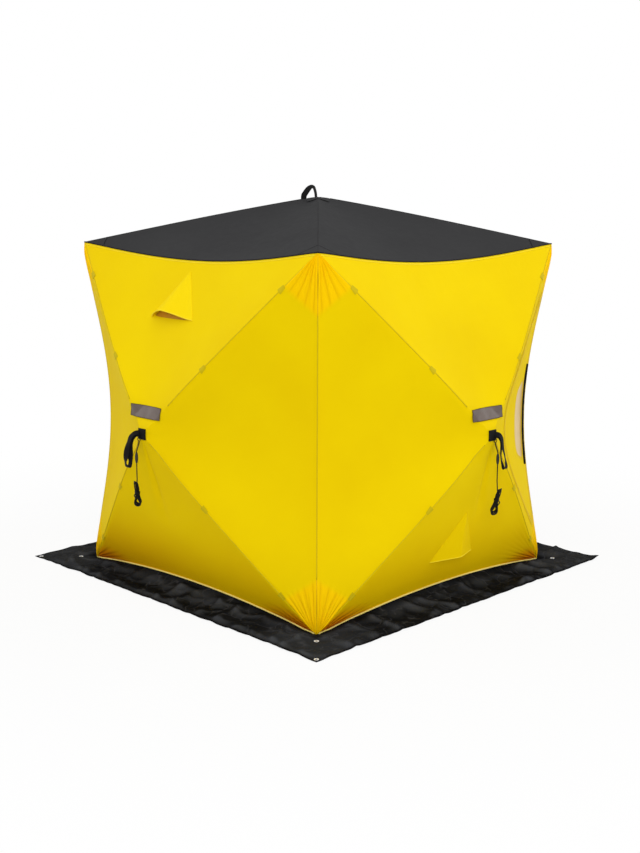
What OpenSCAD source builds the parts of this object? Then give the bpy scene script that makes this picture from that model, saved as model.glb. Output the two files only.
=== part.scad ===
// Pop-up ice fishing shelter: a square cloth tent with a hub in the middle of each wall and of the
// roof, twenty spring rods, a snow skirt and no floor. Millimetres, +Z up, origin at the middle of
// the footprint on the ice. The front wall faces -Y and the right wall faces +X.

/* [Shelter] */
// Side of the square footprint on the ice
base_w = 1500; // [1300:10:2200]
// Side of the square through the top corners
eave_w = 1520; // [1300:10:2200]
// Height of the top corners
eave_h = 1505; // [1300:5:2000]
// How far a wall hub stands out from the footprint
hub_out = 280; // [200:5:380]
// Height of the wall hubs
hub_h = 745; // [650:5:900]
// Rise of the roof hub above the top corners
roof_rise = 210; // [150:5:320]
// Thickness of the lined cloth
cloth_t = 3; // [2:0.5:5]
// Gap along the seams between the panels of one wall
seam_gap = 0.5; // [0.3:0.1:0.6]
// Clearance under trim that is sewn on
sew_gap = 0.3; // [0.2:0.1:0.5]

/* [Tensioned edges] */
// Pull-in of the upright edges at their middle, along the diagonal
edge_pull = 84; // [40:2:110]
// Drop of an eave at its middle
eave_drop = 55; // [20:1:80]
// Set-in of an eave at its middle
eave_in = 50; // [20:1:80]
// Lift of a hem at its middle
hem_lift = 55; // [20:1:80]
// Bulge of a hem at its middle
hem_out = 20; // [5:1:40]

/* [Poles and hubs] */
// Diameter of the glass fibre rods
pole_d = 9; // [7:0.5:12]
// Clearance of a rod in its socket
pole_fit = 0.15; // [0.1:0.05:0.3]
// Wall of a rod socket
socket_wall = 3; // [2:0.5:5]
// Diameter of a hub body
hub_d = 54; // [44:1:70]
// Thickness of a hub body
hub_t = 18; // [17:1:26]
// Depth of a hub's middle behind the cloth apex
hub_sink = 30; // [28:1:44]
// Reach of a hub's rod sockets from its middle
hub_reach = 66; // [56:1:90]
// Length of rod inside a hub socket
hub_grip = 32; // [20:1:34]
// Diameter of a hub's stud
stud_d = 9; // [6:0.5:12]
// Diameter of a corner knuckle
knuckle_d = 26; // [22:1:32]
// Depth of a corner knuckle's middle behind the wall planes
knuckle_sink = 32; // [28:1:46]
// Reach of a knuckle's rod sockets from its middle
knuckle_reach = 56; // [46:1:80]
// Length of rod inside a knuckle socket
knuckle_grip = 30; // [20:1:32]

/* [Snow skirt] */
// Width of the skirt beyond the footprint
skirt_w = 213; // [150:1:300]
// Thickness of the skirt cloth
skirt_t = 2; // [1:0.5:3]
// Distance from the footprint to the fold where the skirt meets the ice
skirt_fold = 30; // [25:1:40]
// Bore of the eyelets
eyelet_d = 10; // [8:0.5:12]
// Outside diameter of the eyelet flange
eyelet_flange_d = 20; // [18:0.5:26]
// Thickness of the eyelet metal
eyelet_t = 1; // [0.8:0.1:1.5]
// Set-in of the outer eyelets from the skirt's edge
eyelet_edge = 22; // [18:1:40]
// Distance of the inner eyelets beyond the footprint
eyelet_inner = 55; // [50:1:80]

/* [Hub trim] */
// Side of the square patch over a wall hub
patch_w = 46; // [40:1:60]
// Thickness of a hub patch
patch_t = 3; // [2:0.5:4]
// Width of the pull webbing
strap_w = 25; // [20:1:30]
// Thickness of the pull webbing
strap_t = 2; // [1.5:0.5:3]
// Gap between the two legs of a pull loop
strap_gap = 13; // [8:1:18]
// Length of a pull loop
strap_len = 150; // [120:1:200]
// Rise of a pull loop above the hub's middle
strap_rise = 12; // [5:1:20]
// Sideways place of the pull loops' middle on the patches
strap_side = 30; // [25:1:34]
// Distance that the pull loops hang out from the patches
strap_out = 22; // [0:1:40]
// Span of the roof loop between its legs
loop_span = 50; // [40:1:60]
// Height of the roof loop
loop_h = 56; // [40:1:80]
// Distance of the roof loop's middle from the apex, towards the front left corner
loop_side = 20; // [0:1:20]
// Side of the square patch over the roof hub
roof_patch_w = 100; // [80:1:120]
// Height of the reflective strips' lower edge above the wall hubs
reflector_up = 64; // [55:1:90]
// Height of the reflective strips
reflector_h = 48; // [30:1:60]
// Thickness of the reflective strips
reflector_t = 1; // [0.8:0.1:2]

/* [Vents] */
// Width of a vent hood at its lip
hood_w = 284; // [220:2:320]
// Stand-off of the lip at its middle
hood_rise = 70; // [50:1:90]
// Arch of the lip at its middle
hood_arch = 26; // [10:1:40]
// Thickness of a hood
hood_t = 2.5; // [2:0.5:4]
// Width of the vent hole
vent_w = 170; // [120:2:190]
// Height of the vent hole
vent_h = 96; // [60:2:110]
// Thickness of the vent mesh
mesh_t = 1; // [0.8:0.1:2]

/* [Door] */
// Mean height of the doorway
door_h = 770; // [650:5:790]
// Width of the doorway
door_w = 506; // [420:2:520]
// Distance from the wall's upright edge to the doorway
door_margin = 31; // [25:1:60]
// Clearance between the door and the wall
door_gap = 0.6; // [0.4:0.1:1]
// Width of the zip tape
zip_w = 26; // [20:1:30]
// Thickness of the zip tape
zip_t = 1.6; // [1:0.1:2.5]
// Height of the window
window_h = 340; // [260:2:360]
// Width of the window
window_w = 196; // [150:2:210]
// Distance from the doorway's side to the window's middle
window_inset = 150; // [146:1:170]
// Thickness of the window film
film_t = 1; // [0.8:0.1:2]
// Diameter of the rolled blind beside the window
blind_d = 22; // [16:1:26]
// Length of the rolled blind
blind_len = 474; // [380:2:500]
// Distance from the doorway's side to the blind's middle
blind_inset = 27; // [26:0.5:32]
// Clearance between the rolled blind and the door
blind_gap = 1.2; // [1:0.1:3]

/* [Guy ropes] */
// Diameter of the rope
rope_d = 4; // [3:0.5:5]
// Diameter of a slider at its middle
slider_d = 13; // [11:0.5:18]
// Diameter of a slider at its ends
slider_end_d = 8; // [7.5:0.5:10]
// Height of a slider
slider_h = 42; // [36:1:48]
// Width of a hank
hank_w = 26; // [24:1:36]
// Height of a hank
hank_h = 112; // [100:1:130]
// Depth of a hank
hank_t = 18; // [14:1:24]
// Outside diameter of a guy ring
ring_d = 20; // [16:1:24]
// Wire of a guy ring
ring_wire = 3; // [2.5:0.5:4]
// Sideways place of the guy rings' middle on the patches
ring_side = 14; // [0:0.5:14]

/* [Hidden] */

$fn = 48;
quarter = 90;
over = 1;
edge_steps = 12;
panel_steps = 5;
rope_sides = 8;
roll_sides = 10;

// Share of each panel that is cut away at the hub for the stud
tip_share = 0.018;
// Places of the door, the window and the blind along the wall's edge, and of the vents out from the hub
door_edge_share = 0.49;
window_edge_share = 0.44;
blind_edge_share = 0.45;
upper_tip_share = 0.93;
upper_lip_share = 0.66;
lower_tip_share = 0.53;
lower_lip_share = 0.80;
vent_place_share = 0.36;
// Roundness of the door, window and vent outlines
door_round_share = 0.30;
window_round_share = 0.42;
vent_round_share = 0.75;

base_half = base_w / 2;
eave_half = eave_w / 2;
hub_r = base_half + hub_out;
apex_h = eave_h + roof_rise;
centre = [0, 0, hub_h];
wall_hub_tip = [0, -hub_r, hub_h];
roof_tip = [0, 0, apex_h];
skin_reach = hub_r * base_half / norm([hub_out, base_half]);
pole_r = pole_d / 2;
socket_r = pole_r + pole_fit + socket_wall;

// Routes of the rope between the ring and the hank, chosen by hand
front_route = [
    [-14, -1030, 711.5], [-14, -1031.5, 704], [-14, -1036, 693], [-14, -1041, 682], [-14, -1044.5, 672],
    [-14, -1045, 667], [-14, -1045, 646], [-14, -1045, 624], [-14, -1045, 610], [-14, -1045, 598],
    [-14, -1045, 586], [-14, -1045, 574], [-14, -1045, 562], [-14, -1045, 552]
];
right_route = [
    [1030, 14, 711.5], [1031.5, 14, 704], [1036, 14, 693], [1041, 14, 682], [1044.5, 14, 672],
    [1045, 14, 667], [1045, 14, 646], [1045, 14, 624], [1045, 14, 610], [1045, 14, 598],
    [1045, 14, 586], [1045, 14, 574], [1045, 14, 562], [1045, 14, 552]
];
// Index of the route point at the middle of the slider
slider_at = 6;

function unit(v) = v / norm(v);
function mix(a, b, k) = a + (b - a) * k;
function bow(s) = 4 * s * (1 - s);

// A point moved off the outer skin: outwards if lift is positive, into the tent if negative
function skin(p, lift) = centre + (p - centre) * (1 + lift / skin_reach);
function skins(points, lift) = [for (p = points) skin(p, lift)];

function base_corner(side) = [side * base_half, -base_half, 0];
function top_corner(side) = [side * eave_half, -eave_half, eave_h];

// The four edges of the front wall, anticlockwise from outside: 0 hem, 1 right, 2 eave, 3 left
function wall_edge(k, s) =
    k == 0 ? mix(base_corner(-1), base_corner(1), s) + bow(s) * [0, -hem_out, hem_lift] :
    k == 1 ? mix(base_corner(1), top_corner(1), s) + bow(s) * edge_pull * unit([-1, 1, 0]) :
    k == 2 ? mix(top_corner(1), top_corner(-1), s) + bow(s) * [0, eave_in, -eave_drop] :
             mix(top_corner(-1), base_corner(-1), s) + bow(s) * edge_pull * unit([1, 1, 0]);

// A point of wall panel k: s runs along its outer edge, t runs out from the hub
function panel_tip(k) = wall_hub_tip + seam_gap * unit(wall_edge(k, 1 / 2) - wall_hub_tip);
function panel(k, s, t) = mix(panel_tip(k), wall_edge(k, s), t);
function roof_panel_tip() = roof_tip + seam_gap * unit(wall_edge(2, 1 / 2) - roof_tip);
function roof_panel(s, t) = mix(roof_panel_tip(), wall_edge(2, 1 - s), t);

seam_share = seam_gap / base_w;
edge_shares = [for (i = [0 : edge_steps]) mix(seam_share, 1 - seam_share, i / edge_steps)];

// A closed outline round a square of shares, anticlockwise from outside, from its lower left corner
square_shares = concat(
    [for (i = [0 : edge_steps - 1]) [-1 + 2 * i / edge_steps, 1]],
    [for (i = [0 : edge_steps - 1]) [1, 1 - 2 * i / edge_steps]],
    [for (i = [0 : edge_steps - 1]) [1 - 2 * i / edge_steps, -1]],
    [for (i = [0 : edge_steps - 1]) [-1, -1 + 2 * i / edge_steps]]
);
function panel_border() = [
    for (q = square_shares) [1 / 2 + q[0] * (1 / 2 - seam_share), mix(tip_share, 1, (1 + q[1]) / 2)]
];

// A rounded outline in panel k: middle at shares s and t, height along the edge, width out from the hub
function rounded(c, round_share) = sign(c) * pow(abs(c), round_share);
function outline(k, s, t, along, out, round_share, grow) =
    let (edge_len = norm(wall_edge(k, 1) - wall_edge(k, 0)),
         out_len = norm(wall_edge(k, 1 / 2) - wall_hub_tip),
         ds = (along / 2 + grow) / (edge_len * t),
         dt = (out / 2 + grow) / out_len,
         n = 4 * edge_steps)
    [for (i = [0 : n - 1]) let (a = 2.5 * quarter + 4 * quarter * i / n)
        [s + ds * rounded(cos(a), round_share), t - dt * rounded(sin(a), round_share)]];
function on_panel(k, shares) = [for (q = shares) panel(k, q[0], q[1])];

// The share, out from the hub, of a place in the door panel that lies so far from the wall's edge
function in_from_edge(distance) = 1 - distance / norm(wall_edge(1, 1 / 2) - wall_hub_tip);
door_out_share = in_from_edge(door_margin + door_w / 2);
window_out_share = in_from_edge(door_margin + window_inset);
blind_out_share = in_from_edge(door_margin + blind_inset);

function door_outline(grow) =
    outline(1, door_edge_share, door_out_share, door_h, door_w, door_round_share, grow);
function window_outline(grow) =
    outline(1, window_edge_share, window_out_share, window_h, window_w, window_round_share, grow);
function vent_outline(k, tip, lip, grow) =
    outline(k, 1 / 2, mix(lip, tip, vent_place_share), vent_w, vent_h, vent_round_share, grow);

function quad(a, b, c, d) = [[a, b, c], [a, c, d]];
function joined(lists) = [for (l = lists) each l];

// A closed sheet over rows of points, given on its outer and its inner face
module sheet(rows_out, rows_in, closed = false) {
    m = len(rows_out);
    n = len(rows_out[0]);
    last = closed ? n - 1 : n - 2;
    inner = m * n;
    end = (m - 1) * n;
    spans = [for (i = [0 : last]) [i, (i + 1) % n]];
    sides = joined([for (r = [0 : m - 2]) for (q = spans)
        let (a = r * n + q[0], b = r * n + q[1], c = b + n, d = a + n)
        concat(quad(a, b, c, d), quad(inner + a, inner + d, inner + c, inner + b))]);
    rims = joined([for (q = spans) concat(
        quad(q[1], q[0], inner + q[0], inner + q[1]),
        quad(end + q[0], end + q[1], inner + end + q[1], inner + end + q[0]))]);
    ends = closed ? [] : joined([for (r = [0 : m - 2]) let (a = r * n, d = a + n, b = a + n - 1, c = b + n)
        concat(quad(a, d, inner + d, inner + a), quad(c, b, inner + b, inner + c))]);
    polyhedron(concat(joined(rows_out), joined(rows_in)), concat(sides, rims, ends));
}

// The rows of a panel's sheet between two outlines of shares
function panel_rows(k, from, to) = [
    for (r = [0 : panel_steps]) [
        for (i = [0 : len(from) - 1]) let (q = mix(from[i], to[i], r / panel_steps)) panel(k, q[0], q[1])]
];
function lifted(rows, lift) = [for (row = rows) skins(row, lift)];

// A closed sheet inside one outline
module disc(rim_out, rim_in) {
    n = len(rim_out);
    middle_out = 2 * n;
    middle_in = 2 * n + 1;
    middles = [for (r = [rim_out, rim_in]) (r[0] + r[n / 4] + r[n / 2] + r[3 * n / 4]) / 4];
    faces = joined([for (i = [0 : n - 1]) let (j = (i + 1) % n) concat(
        [[middle_out, j, i], [middle_in, n + i, n + j]],
        quad(i, j, n + j, n + i))]);
    polyhedron(concat(rim_out, rim_in, middles), faces);
}

// A round tube along a path of points
module tube(path, r, sides, across) {
    n = len(path);
    rings = [for (i = [0 : n - 1])
        let (along = unit(path[min(i + 1, n - 1)] - path[max(i - 1, 0)]),
             x = unit(cross(along, across)),
             y = cross(along, x))
        for (a = [0 : sides - 1])
            path[i] + r * (cos(4 * quarter * a / sides) * x + sin(4 * quarter * a / sides) * y)];
    faces = joined([for (i = [0 : n - 2]) for (a = [0 : sides - 1]) let (b = (a + 1) % sides)
        [quad(i * sides + a, (i + 1) * sides + a, (i + 1) * sides + b, i * sides + b)]]);
    caps = [[for (a = [0 : sides - 1]) a], [for (a = [sides - 1 : -1 : 0]) (n - 1) * sides + a]];
    polyhedron(rings, concat(joined(faces), caps));
}

// A round bar between two distances from p towards q
module bar(p, q, from, to, r) {
    d = unit(q - p);
    translate(p + d * from)
        rotate([0, acos(d[2]), atan2(d[1], d[0])])
            cylinder(h = to - from, r = r);
}

// A flat bar outline with round ends, standing on the origin
module round_bar(w, h) {
    translate([-w / 2, w / 2])
        square([w, h - w]);
    translate([0, w / 2])
        circle(d = w);
    translate([0, h - w / 2])
        circle(d = w);
}

module on_wall(w) {
    rotate([0, 0, quarter * w])
        children();
}

// Stands children up against the front wall's hub: x along the wall, y up, z outwards
module on_hub(out) {
    translate([0, -hub_r - out, hub_h])
        rotate([quarter, 0, 0])
            children();
}

module plain_panel(k) {
    rows = [for (t = [tip_share, 1]) [for (s = edge_shares) panel(k, s, t)]];
    sheet(rows, lifted(rows, -cloth_t));
}

// A wall panel with an opening, given as an outline of shares
module open_panel(k, opening) {
    rows = panel_rows(k, opening, panel_border());
    sheet(rows, lifted(rows, -cloth_t), closed = true);
}

module front_wall() {
    color("gold") {
        for (k = [0, 1, 3])
            plain_panel(k);
        open_panel(2, vent_outline(2, upper_tip_share, upper_lip_share, 0));
    }
}

module right_wall() {
    color("gold")
        on_wall(1) {
            for (k = [2, 3])
                plain_panel(k);
            open_panel(0, vent_outline(0, lower_tip_share, lower_lip_share, 0));
            open_panel(1, door_outline(door_gap));
        }
}

module plain_wall(w) {
    color("gold")
        on_wall(w)
            for (k = [0 : 3])
                plain_panel(k);
}

module roof_panels() {
    rows = [for (t = [tip_share, 1]) [for (s = edge_shares) roof_panel(s, t)]];
    color("dimgray")
        for (w = [0 : 3])
            on_wall(w)
                sheet(rows, lifted(rows, -cloth_t));
}

module door_flap() {
    rows = panel_rows(1, window_outline(sew_gap), door_outline(0));
    color("gold")
        on_wall(1)
            sheet(rows, lifted(rows, -cloth_t), closed = true);
}

module door_window() {
    rim = on_panel(1, window_outline(0));
    color("cornsilk")
        on_wall(1)
            disc(skins(rim, film_t - cloth_t), skins(rim, -cloth_t));
}

// Zip tape over the gap between the door and the wall
module door_zip() {
    rows = [for (side = [-1, 1]) on_panel(1, door_outline(side * zip_w / 2))];
    color("black")
        on_wall(1)
            sheet(lifted(rows, 2 * sew_gap + zip_t), lifted(rows, 2 * sew_gap), closed = true);
}

// The window's dark blind, rolled up along the side by the wall's edge
module window_blind() {
    half_share = blind_len / 2 / (norm(wall_edge(1, 1) - wall_edge(1, 0)) * blind_out_share);
    path = [for (i = [0 : edge_steps])
        let (s = blind_edge_share + mix(-half_share, half_share, i / edge_steps))
        skin(panel(1, s, blind_out_share), blind_d / 2 + blind_gap)];
    color("black")
        on_wall(1)
            tube(path, blind_d / 2, roll_sides, [1, 0, 0]);
}

function knuckle(corner) = skin(corner, -knuckle_sink);
function corners() = [base_corner(-1), base_corner(1), top_corner(1), top_corner(-1)];
wall_hub_middle = wall_hub_tip + [0, hub_sink, 0];
roof_hub_middle = roof_tip - [0, 0, hub_sink];
function turned(p, w) =
    let (c = cos(quarter * w), s = sin(quarter * w)) [c * p[0] - s * p[1], s * p[0] + c * p[1], p[2]];

// One rod, from the floor of its hub socket to the floor of its knuckle socket
module pole(hub, knot) {
    bar(hub, knot, hub_reach - hub_grip, norm(knot - hub) - knuckle_reach + knuckle_grip, pole_r);
}

module wall_poles(w) {
    color("darkslategray")
        on_wall(w)
            for (c = corners())
                pole(wall_hub_middle, knuckle(c));
}

module roof_poles() {
    color("darkslategray")
        for (w = [0 : 3])
            on_wall(w)
                pole(roof_hub_middle, knuckle(top_corner(1)));
}

// Rod sockets that reach from a middle towards the far ends of its rods
module socket_body(middle, ends, reach) {
    for (e = ends)
        bar(middle, e, 0, reach, socket_r);
}

module socket_bores(middle, ends, reach, grip) {
    for (e = ends)
        bar(middle, e, reach - grip, reach + over, pole_r + pole_fit);
}

// A moulded hub: a round body with four rod sockets and a stud up to the cloth patch
module hub(middle, ends, turn, stud_h) {
    color("dimgray")
        difference() {
            union() {
                translate(middle)
                    rotate(turn) {
                        translate([0, 0, -hub_t / 2])
                            cylinder(h = hub_t, d = hub_d);
                        cylinder(h = stud_h, d = stud_d);
                    }
                socket_body(middle, ends, hub_reach);
            }
            socket_bores(middle, ends, hub_reach, hub_grip);
        }
}

patch_seat = sew_gap - tip_share * (hub_out - hem_out);
roof_patch_seat = sew_gap - tip_share * roof_rise;

module wall_hub(w) {
    on_wall(w)
        hub(wall_hub_middle, [for (c = corners()) knuckle(c)], [quarter, 0, 0], hub_sink + patch_seat);
}

module roof_hub() {
    hub(roof_hub_middle, [for (w = [0 : 3]) turned(knuckle(top_corner(1)), w)], [0, 0, 0],
        hub_sink + roof_patch_seat);
}

// A ball with a socket for each rod that meets in the corner
module corner_knuckle(corner, ends) {
    middle = knuckle(corner);
    color("dimgray")
        difference() {
            union() {
                translate(middle)
                    sphere(d = knuckle_d);
                socket_body(middle, ends, knuckle_reach);
            }
            socket_bores(middle, ends, knuckle_reach, knuckle_grip);
        }
}

module top_corner_knuckles() {
    for (w = [0 : 3])
        on_wall(w)
            corner_knuckle(top_corner(1), [wall_hub_middle, turned(wall_hub_middle, 1), roof_hub_middle]);
}

module base_corner_knuckles() {
    for (w = [0 : 3])
        on_wall(w)
            corner_knuckle(base_corner(1), [wall_hub_middle, turned(wall_hub_middle, 1)]);
}

fold_half = base_half + skirt_fold;

// The upright part of the skirt, from each hem down to the fold on the ice
module skirt_rise() {
    spread = 1 + skirt_t / base_half;
    fold_out = fold_half - sew_gap;
    fold_in = fold_out - skirt_t;
    seams = [for (s = edge_shares) 2 * s - 1];
    hems = [for (s = edge_shares) let (p = skin(wall_edge(0, s), sew_gap)) [p[0], p[1], max(p[2], 0)]];
    hems_out = [for (p = hems) [spread * p[0], spread * p[1], p[2] + skirt_t]];
    folds = [for (s = seams) [s * fold_in, -fold_in, 0]];
    folds_out = [for (s = seams) [s * fold_out, -fold_out, skirt_t]];
    color("black")
        for (w = [0 : 3])
            on_wall(w)
                sheet([hems_out, folds_out], [hems, folds]);
}

module at_eyelets() {
    outer = base_half + skirt_w - eyelet_edge;
    inner = base_half + eyelet_inner;
    for (half = [inner, outer])
        for (x = [-half, half])
            for (y = [-half, half])
                translate([x, y, 0])
                    children();
}

eyelet_barrel_d = eyelet_d + 2 * eyelet_t;

// The flat part of the skirt, which lies on the ice
module snow_skirt() {
    skirt_side = base_w + 2 * skirt_w;
    color("black")
        difference() {
            linear_extrude(height = skirt_t)
                difference() {
                    square(skirt_side, center = true);
                    square(2 * fold_half, center = true);
                }
            at_eyelets()
                translate([0, 0, -over])
                    cylinder(h = skirt_t + 2 * over, d = eyelet_barrel_d);
        }
}

module skirt_eyelets() {
    color("silver")
        at_eyelets()
            difference() {
                union() {
                    cylinder(h = skirt_t, d = eyelet_barrel_d);
                    translate([0, 0, skirt_t])
                        cylinder(h = eyelet_t, d = eyelet_flange_d);
                }
                translate([0, 0, -over])
                    cylinder(h = skirt_t + eyelet_t + 2 * over, d = eyelet_d);
            }
}

module wall_hub_patches() {
    color("black")
        for (w = [0 : 3])
            on_wall(w)
                on_hub(patch_seat)
                    linear_extrude(height = patch_t)
                        square(patch_w, center = true);
}

module roof_hub_patch() {
    color("black")
        translate([0, 0, apex_h + roof_patch_seat])
            rotate([0, 0, quarter / 2])
                linear_extrude(height = patch_t)
                    square(roof_patch_w, center = true);
}

// A closed webbing loop that hangs below and a little out from the patch, on a tab sewn to it
module wall_pull_straps() {
    loop_w = strap_gap + 2 * strap_t;
    seat = patch_seat + patch_t;
    color("black")
        for (w = [0 : 3])
            on_wall(w)
                translate([(w % 2 == 0 ? -1 : 1) * strap_side - strap_w / 2,
                    -hub_r - seat - strap_out - loop_w / 2, hub_h + strap_rise - strap_len])
                    rotate([quarter, 0, quarter])
                        linear_extrude(height = strap_w) {
                            difference() {
                                round_bar(loop_w, strap_len);
                                translate([0, strap_t])
                                    round_bar(strap_gap, strap_len - 2 * strap_t);
                            }
                            translate([strap_gap / 2, strap_len - loop_w / 2 - strap_t])
                                square([strap_t + strap_out, strap_t]);
                        }
}

// A webbing loop that stands on the roof patch, in line with two of the roof's ridges
module roof_pull_loop() {
    outer_w = loop_span + 2 * strap_t;
    seat = apex_h + roof_patch_seat + patch_t;
    color("black")
        rotate([0, 0, quarter / 2])
            translate([-loop_side, strap_w / 2, seat])
                rotate([quarter, 0, 0])
                    linear_extrude(height = strap_w)
                        difference() {
                            loop_arch(outer_w, 0);
                            loop_arch(loop_span, over);
                        }
}

// An upright outline with a round top, which reaches below the seat by an overrun
module loop_arch(w, below) {
    shoulder = loop_h - loop_span / 2 - strap_t;
    translate([-w / 2, -below])
        square([w, shoulder + below]);
    translate([0, shoulder])
        circle(d = w);
}

// A strip across the panel above each wall hub
module reflective_strips() {
    rise = eave_h - eave_drop - hub_h;
    heights = [reflector_up, reflector_up + reflector_h];
    rows = [for (up = heights) [for (s = edge_shares) panel(2, s, up / rise)]];
    color("gray")
        for (w = [0 : 3])
            on_wall(w)
                sheet(lifted(rows, sew_gap + reflector_t), lifted(rows, sew_gap));
}

// An arched hood over a vent: sewn to panel k along two sides, with an open lip below
module vent_hood(k, tip_at, lip_at) {
    half = hood_w / 2 / (base_w * lip_at);
    leftwards = k == 2 ? 1 : -1;
    tip = skin(panel(k, 1 / 2, tip_at), sew_gap);
    left = skin(panel(k, 1 / 2 + leftwards * half, lip_at), sew_gap);
    right = skin(panel(k, 1 / 2 - leftwards * half, lip_at), sew_gap);
    middle = (left + right) / 2;
    lip = [for (i = [0 : edge_steps]) let (v = i / edge_steps, lift = sin(2 * quarter * v))
        mix(left, right, v) + lift * [0, -hood_rise, hood_arch]];
    tips = [for (p = lip) mix(tip, p, 2 * tip_share)];
    inner = 1 - hood_t / hood_rise;
    rows = [tips, lip];
    color("gold")
        sheet(rows, [for (row = rows) [for (p = row) mix(middle, p, inner)]]);
}

module vent_mesh(k, tip_at, lip_at) {
    rim = on_panel(k, vent_outline(k, tip_at, lip_at, -sew_gap));
    color("saddlebrown")
        disc(skins(rim, mesh_t - cloth_t), skins(rim, -cloth_t));
}

module upper_vent_hood() {
    vent_hood(2, upper_tip_share, upper_lip_share);
}

module upper_vent_mesh() {
    vent_mesh(2, upper_tip_share, upper_lip_share);
}

module lower_vent_hood() {
    on_wall(1)
        vent_hood(0, lower_tip_share, lower_lip_share);
}

module lower_vent_mesh() {
    on_wall(1)
        vent_mesh(0, lower_tip_share, lower_lip_share);
}

// A wire ring against the lower edge of a hub patch, which the guy rope is tied to
module guy_ring(side) {
    ring_r = (ring_d - ring_wire) / 2;
    translate([side * ring_side, -patch_w / 2, patch_t + ring_wire / 2 + sew_gap])
        rotate_extrude()
            translate([ring_r, 0])
                circle(d = ring_wire);
}

module guy_rings() {
    color("silver") {
        on_hub(patch_seat)
            guy_ring(-1);
        on_wall(1)
            on_hub(patch_seat)
                guy_ring(1);
    }
}

module guy_rope(route, across) {
    color("black")
        tube(route, rope_d / 2, rope_sides, across);
}

// A spindle-shaped slider with the rope through it
module guy_slider(at) {
    bore_r = rope_d / 2 + sew_gap;
    swell = (slider_d - slider_end_d) / 2;
    side = [for (i = [0 : edge_steps]) let (z = mix(-1, 1, i / edge_steps))
        [slider_end_d / 2 + swell * (1 - z * z), z * slider_h / 2]];
    color("black")
        translate(at)
            rotate_extrude()
                polygon(concat([[bore_r, -slider_h / 2]], side, [[bore_r, slider_h / 2]]));
}

// The folded rest of the rope, as one solid of its outer shape
module guy_hank(route, turn) {
    color("black")
        translate(route[len(route) - 1] - [0, 0, hank_h + sew_gap])
            rotate([0, 0, turn])
                translate([0, hank_t / 2, 0])
                    rotate([quarter, 0, 0])
                        linear_extrude(height = hank_t)
                            round_bar(hank_w, hank_h);
}

front_wall();
right_wall();
plain_wall(2);  // back_wall
plain_wall(3);  // left_wall
roof_panels();
door_flap();
door_window();
door_zip();
window_blind();
wall_poles(0);  // front_wall_poles
wall_poles(1);  // right_wall_poles
wall_poles(2);  // back_wall_poles
wall_poles(3);  // left_wall_poles
roof_poles();
wall_hub(0);  // front_wall_hub
wall_hub(1);  // right_wall_hub
wall_hub(2);  // back_wall_hub
wall_hub(3);  // left_wall_hub
roof_hub();
top_corner_knuckles();
base_corner_knuckles();
skirt_rise();
snow_skirt();
skirt_eyelets();
wall_hub_patches();
roof_hub_patch();
wall_pull_straps();
roof_pull_loop();
reflective_strips();
upper_vent_hood();
upper_vent_mesh();
lower_vent_hood();
lower_vent_mesh();
guy_rings();
guy_rope(front_route, [1, 0, 0]);  // front_guy_rope
guy_slider(front_route[slider_at]);  // front_guy_slider
guy_hank(front_route, 0);  // front_guy_hank
guy_rope(right_route, [0, 1, 0]);  // right_guy_rope
guy_slider(right_route[slider_at]);  // right_guy_slider
guy_hank(right_route, quarter);  // right_guy_hank
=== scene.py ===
import math

import bmesh
import bpy
from mathutils import Matrix, Quaternion, Vector, noise


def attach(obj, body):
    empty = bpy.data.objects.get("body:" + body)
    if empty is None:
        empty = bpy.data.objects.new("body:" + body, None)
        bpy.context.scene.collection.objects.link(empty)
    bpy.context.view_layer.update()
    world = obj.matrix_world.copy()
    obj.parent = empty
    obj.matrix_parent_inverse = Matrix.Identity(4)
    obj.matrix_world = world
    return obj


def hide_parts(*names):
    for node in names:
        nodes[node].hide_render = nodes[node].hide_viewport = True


# Pop-up ice fishing shelter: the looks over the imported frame, in metres, front wall to -Y
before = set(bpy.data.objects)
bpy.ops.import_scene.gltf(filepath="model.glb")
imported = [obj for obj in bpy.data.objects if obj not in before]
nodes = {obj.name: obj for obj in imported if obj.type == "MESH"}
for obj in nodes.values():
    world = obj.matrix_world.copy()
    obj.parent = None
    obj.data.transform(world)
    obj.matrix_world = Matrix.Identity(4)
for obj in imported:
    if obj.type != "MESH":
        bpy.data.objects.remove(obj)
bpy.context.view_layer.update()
scene = bpy.context.scene
scene.view_settings.view_transform = "Standard"
print("frame loaded:", len(nodes), "nodes")

# the photograph's eye: about 5.7 m away on the near corner's diagonal, a little above the eaves
eye = dict(distance=5.660, height=1.696, azimuth=45, pitch=10.52, roll=0.22, focalPixels=1215.5,
           longSide=853, sensor=36, shiftPixels=2.7)


def makeCamera():
    data = bpy.data.cameras.new("camera")
    data.sensor_width = eye["sensor"]
    data.lens = eye["focalPixels"] / eye["longSide"] * eye["sensor"]
    data.shift_x = eye["shiftPixels"] / eye["longSide"]
    camera = bpy.data.objects.new("camera", data)
    scene.collection.objects.link(camera)
    turn = math.radians(eye["azimuth"])
    camera.location = (eye["distance"] * math.sin(turn), -eye["distance"] * math.cos(turn), eye["height"])
    aim = Quaternion((0, 0, 1), turn) @ Quaternion((1, 0, 0), math.radians(90 - eye["pitch"]))
    camera.rotation_mode = "QUATERNION"
    camera.rotation_quaternion = aim @ Quaternion((0, 0, 1), math.radians(eye["roll"]))
    scene.camera = camera


makeCamera()
print("camera placed")


# colours are written as sRGB hex and turned to linear here
def linear(hexColor):
    parts = [int(hexColor[i:i + 2], 16) / 255 for i in (1, 3, 5)]
    return (*[c / 12.92 if c <= 0.04045 else ((c + 0.055) / 1.055) ** 2.4 for c in parts], 1)


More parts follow.
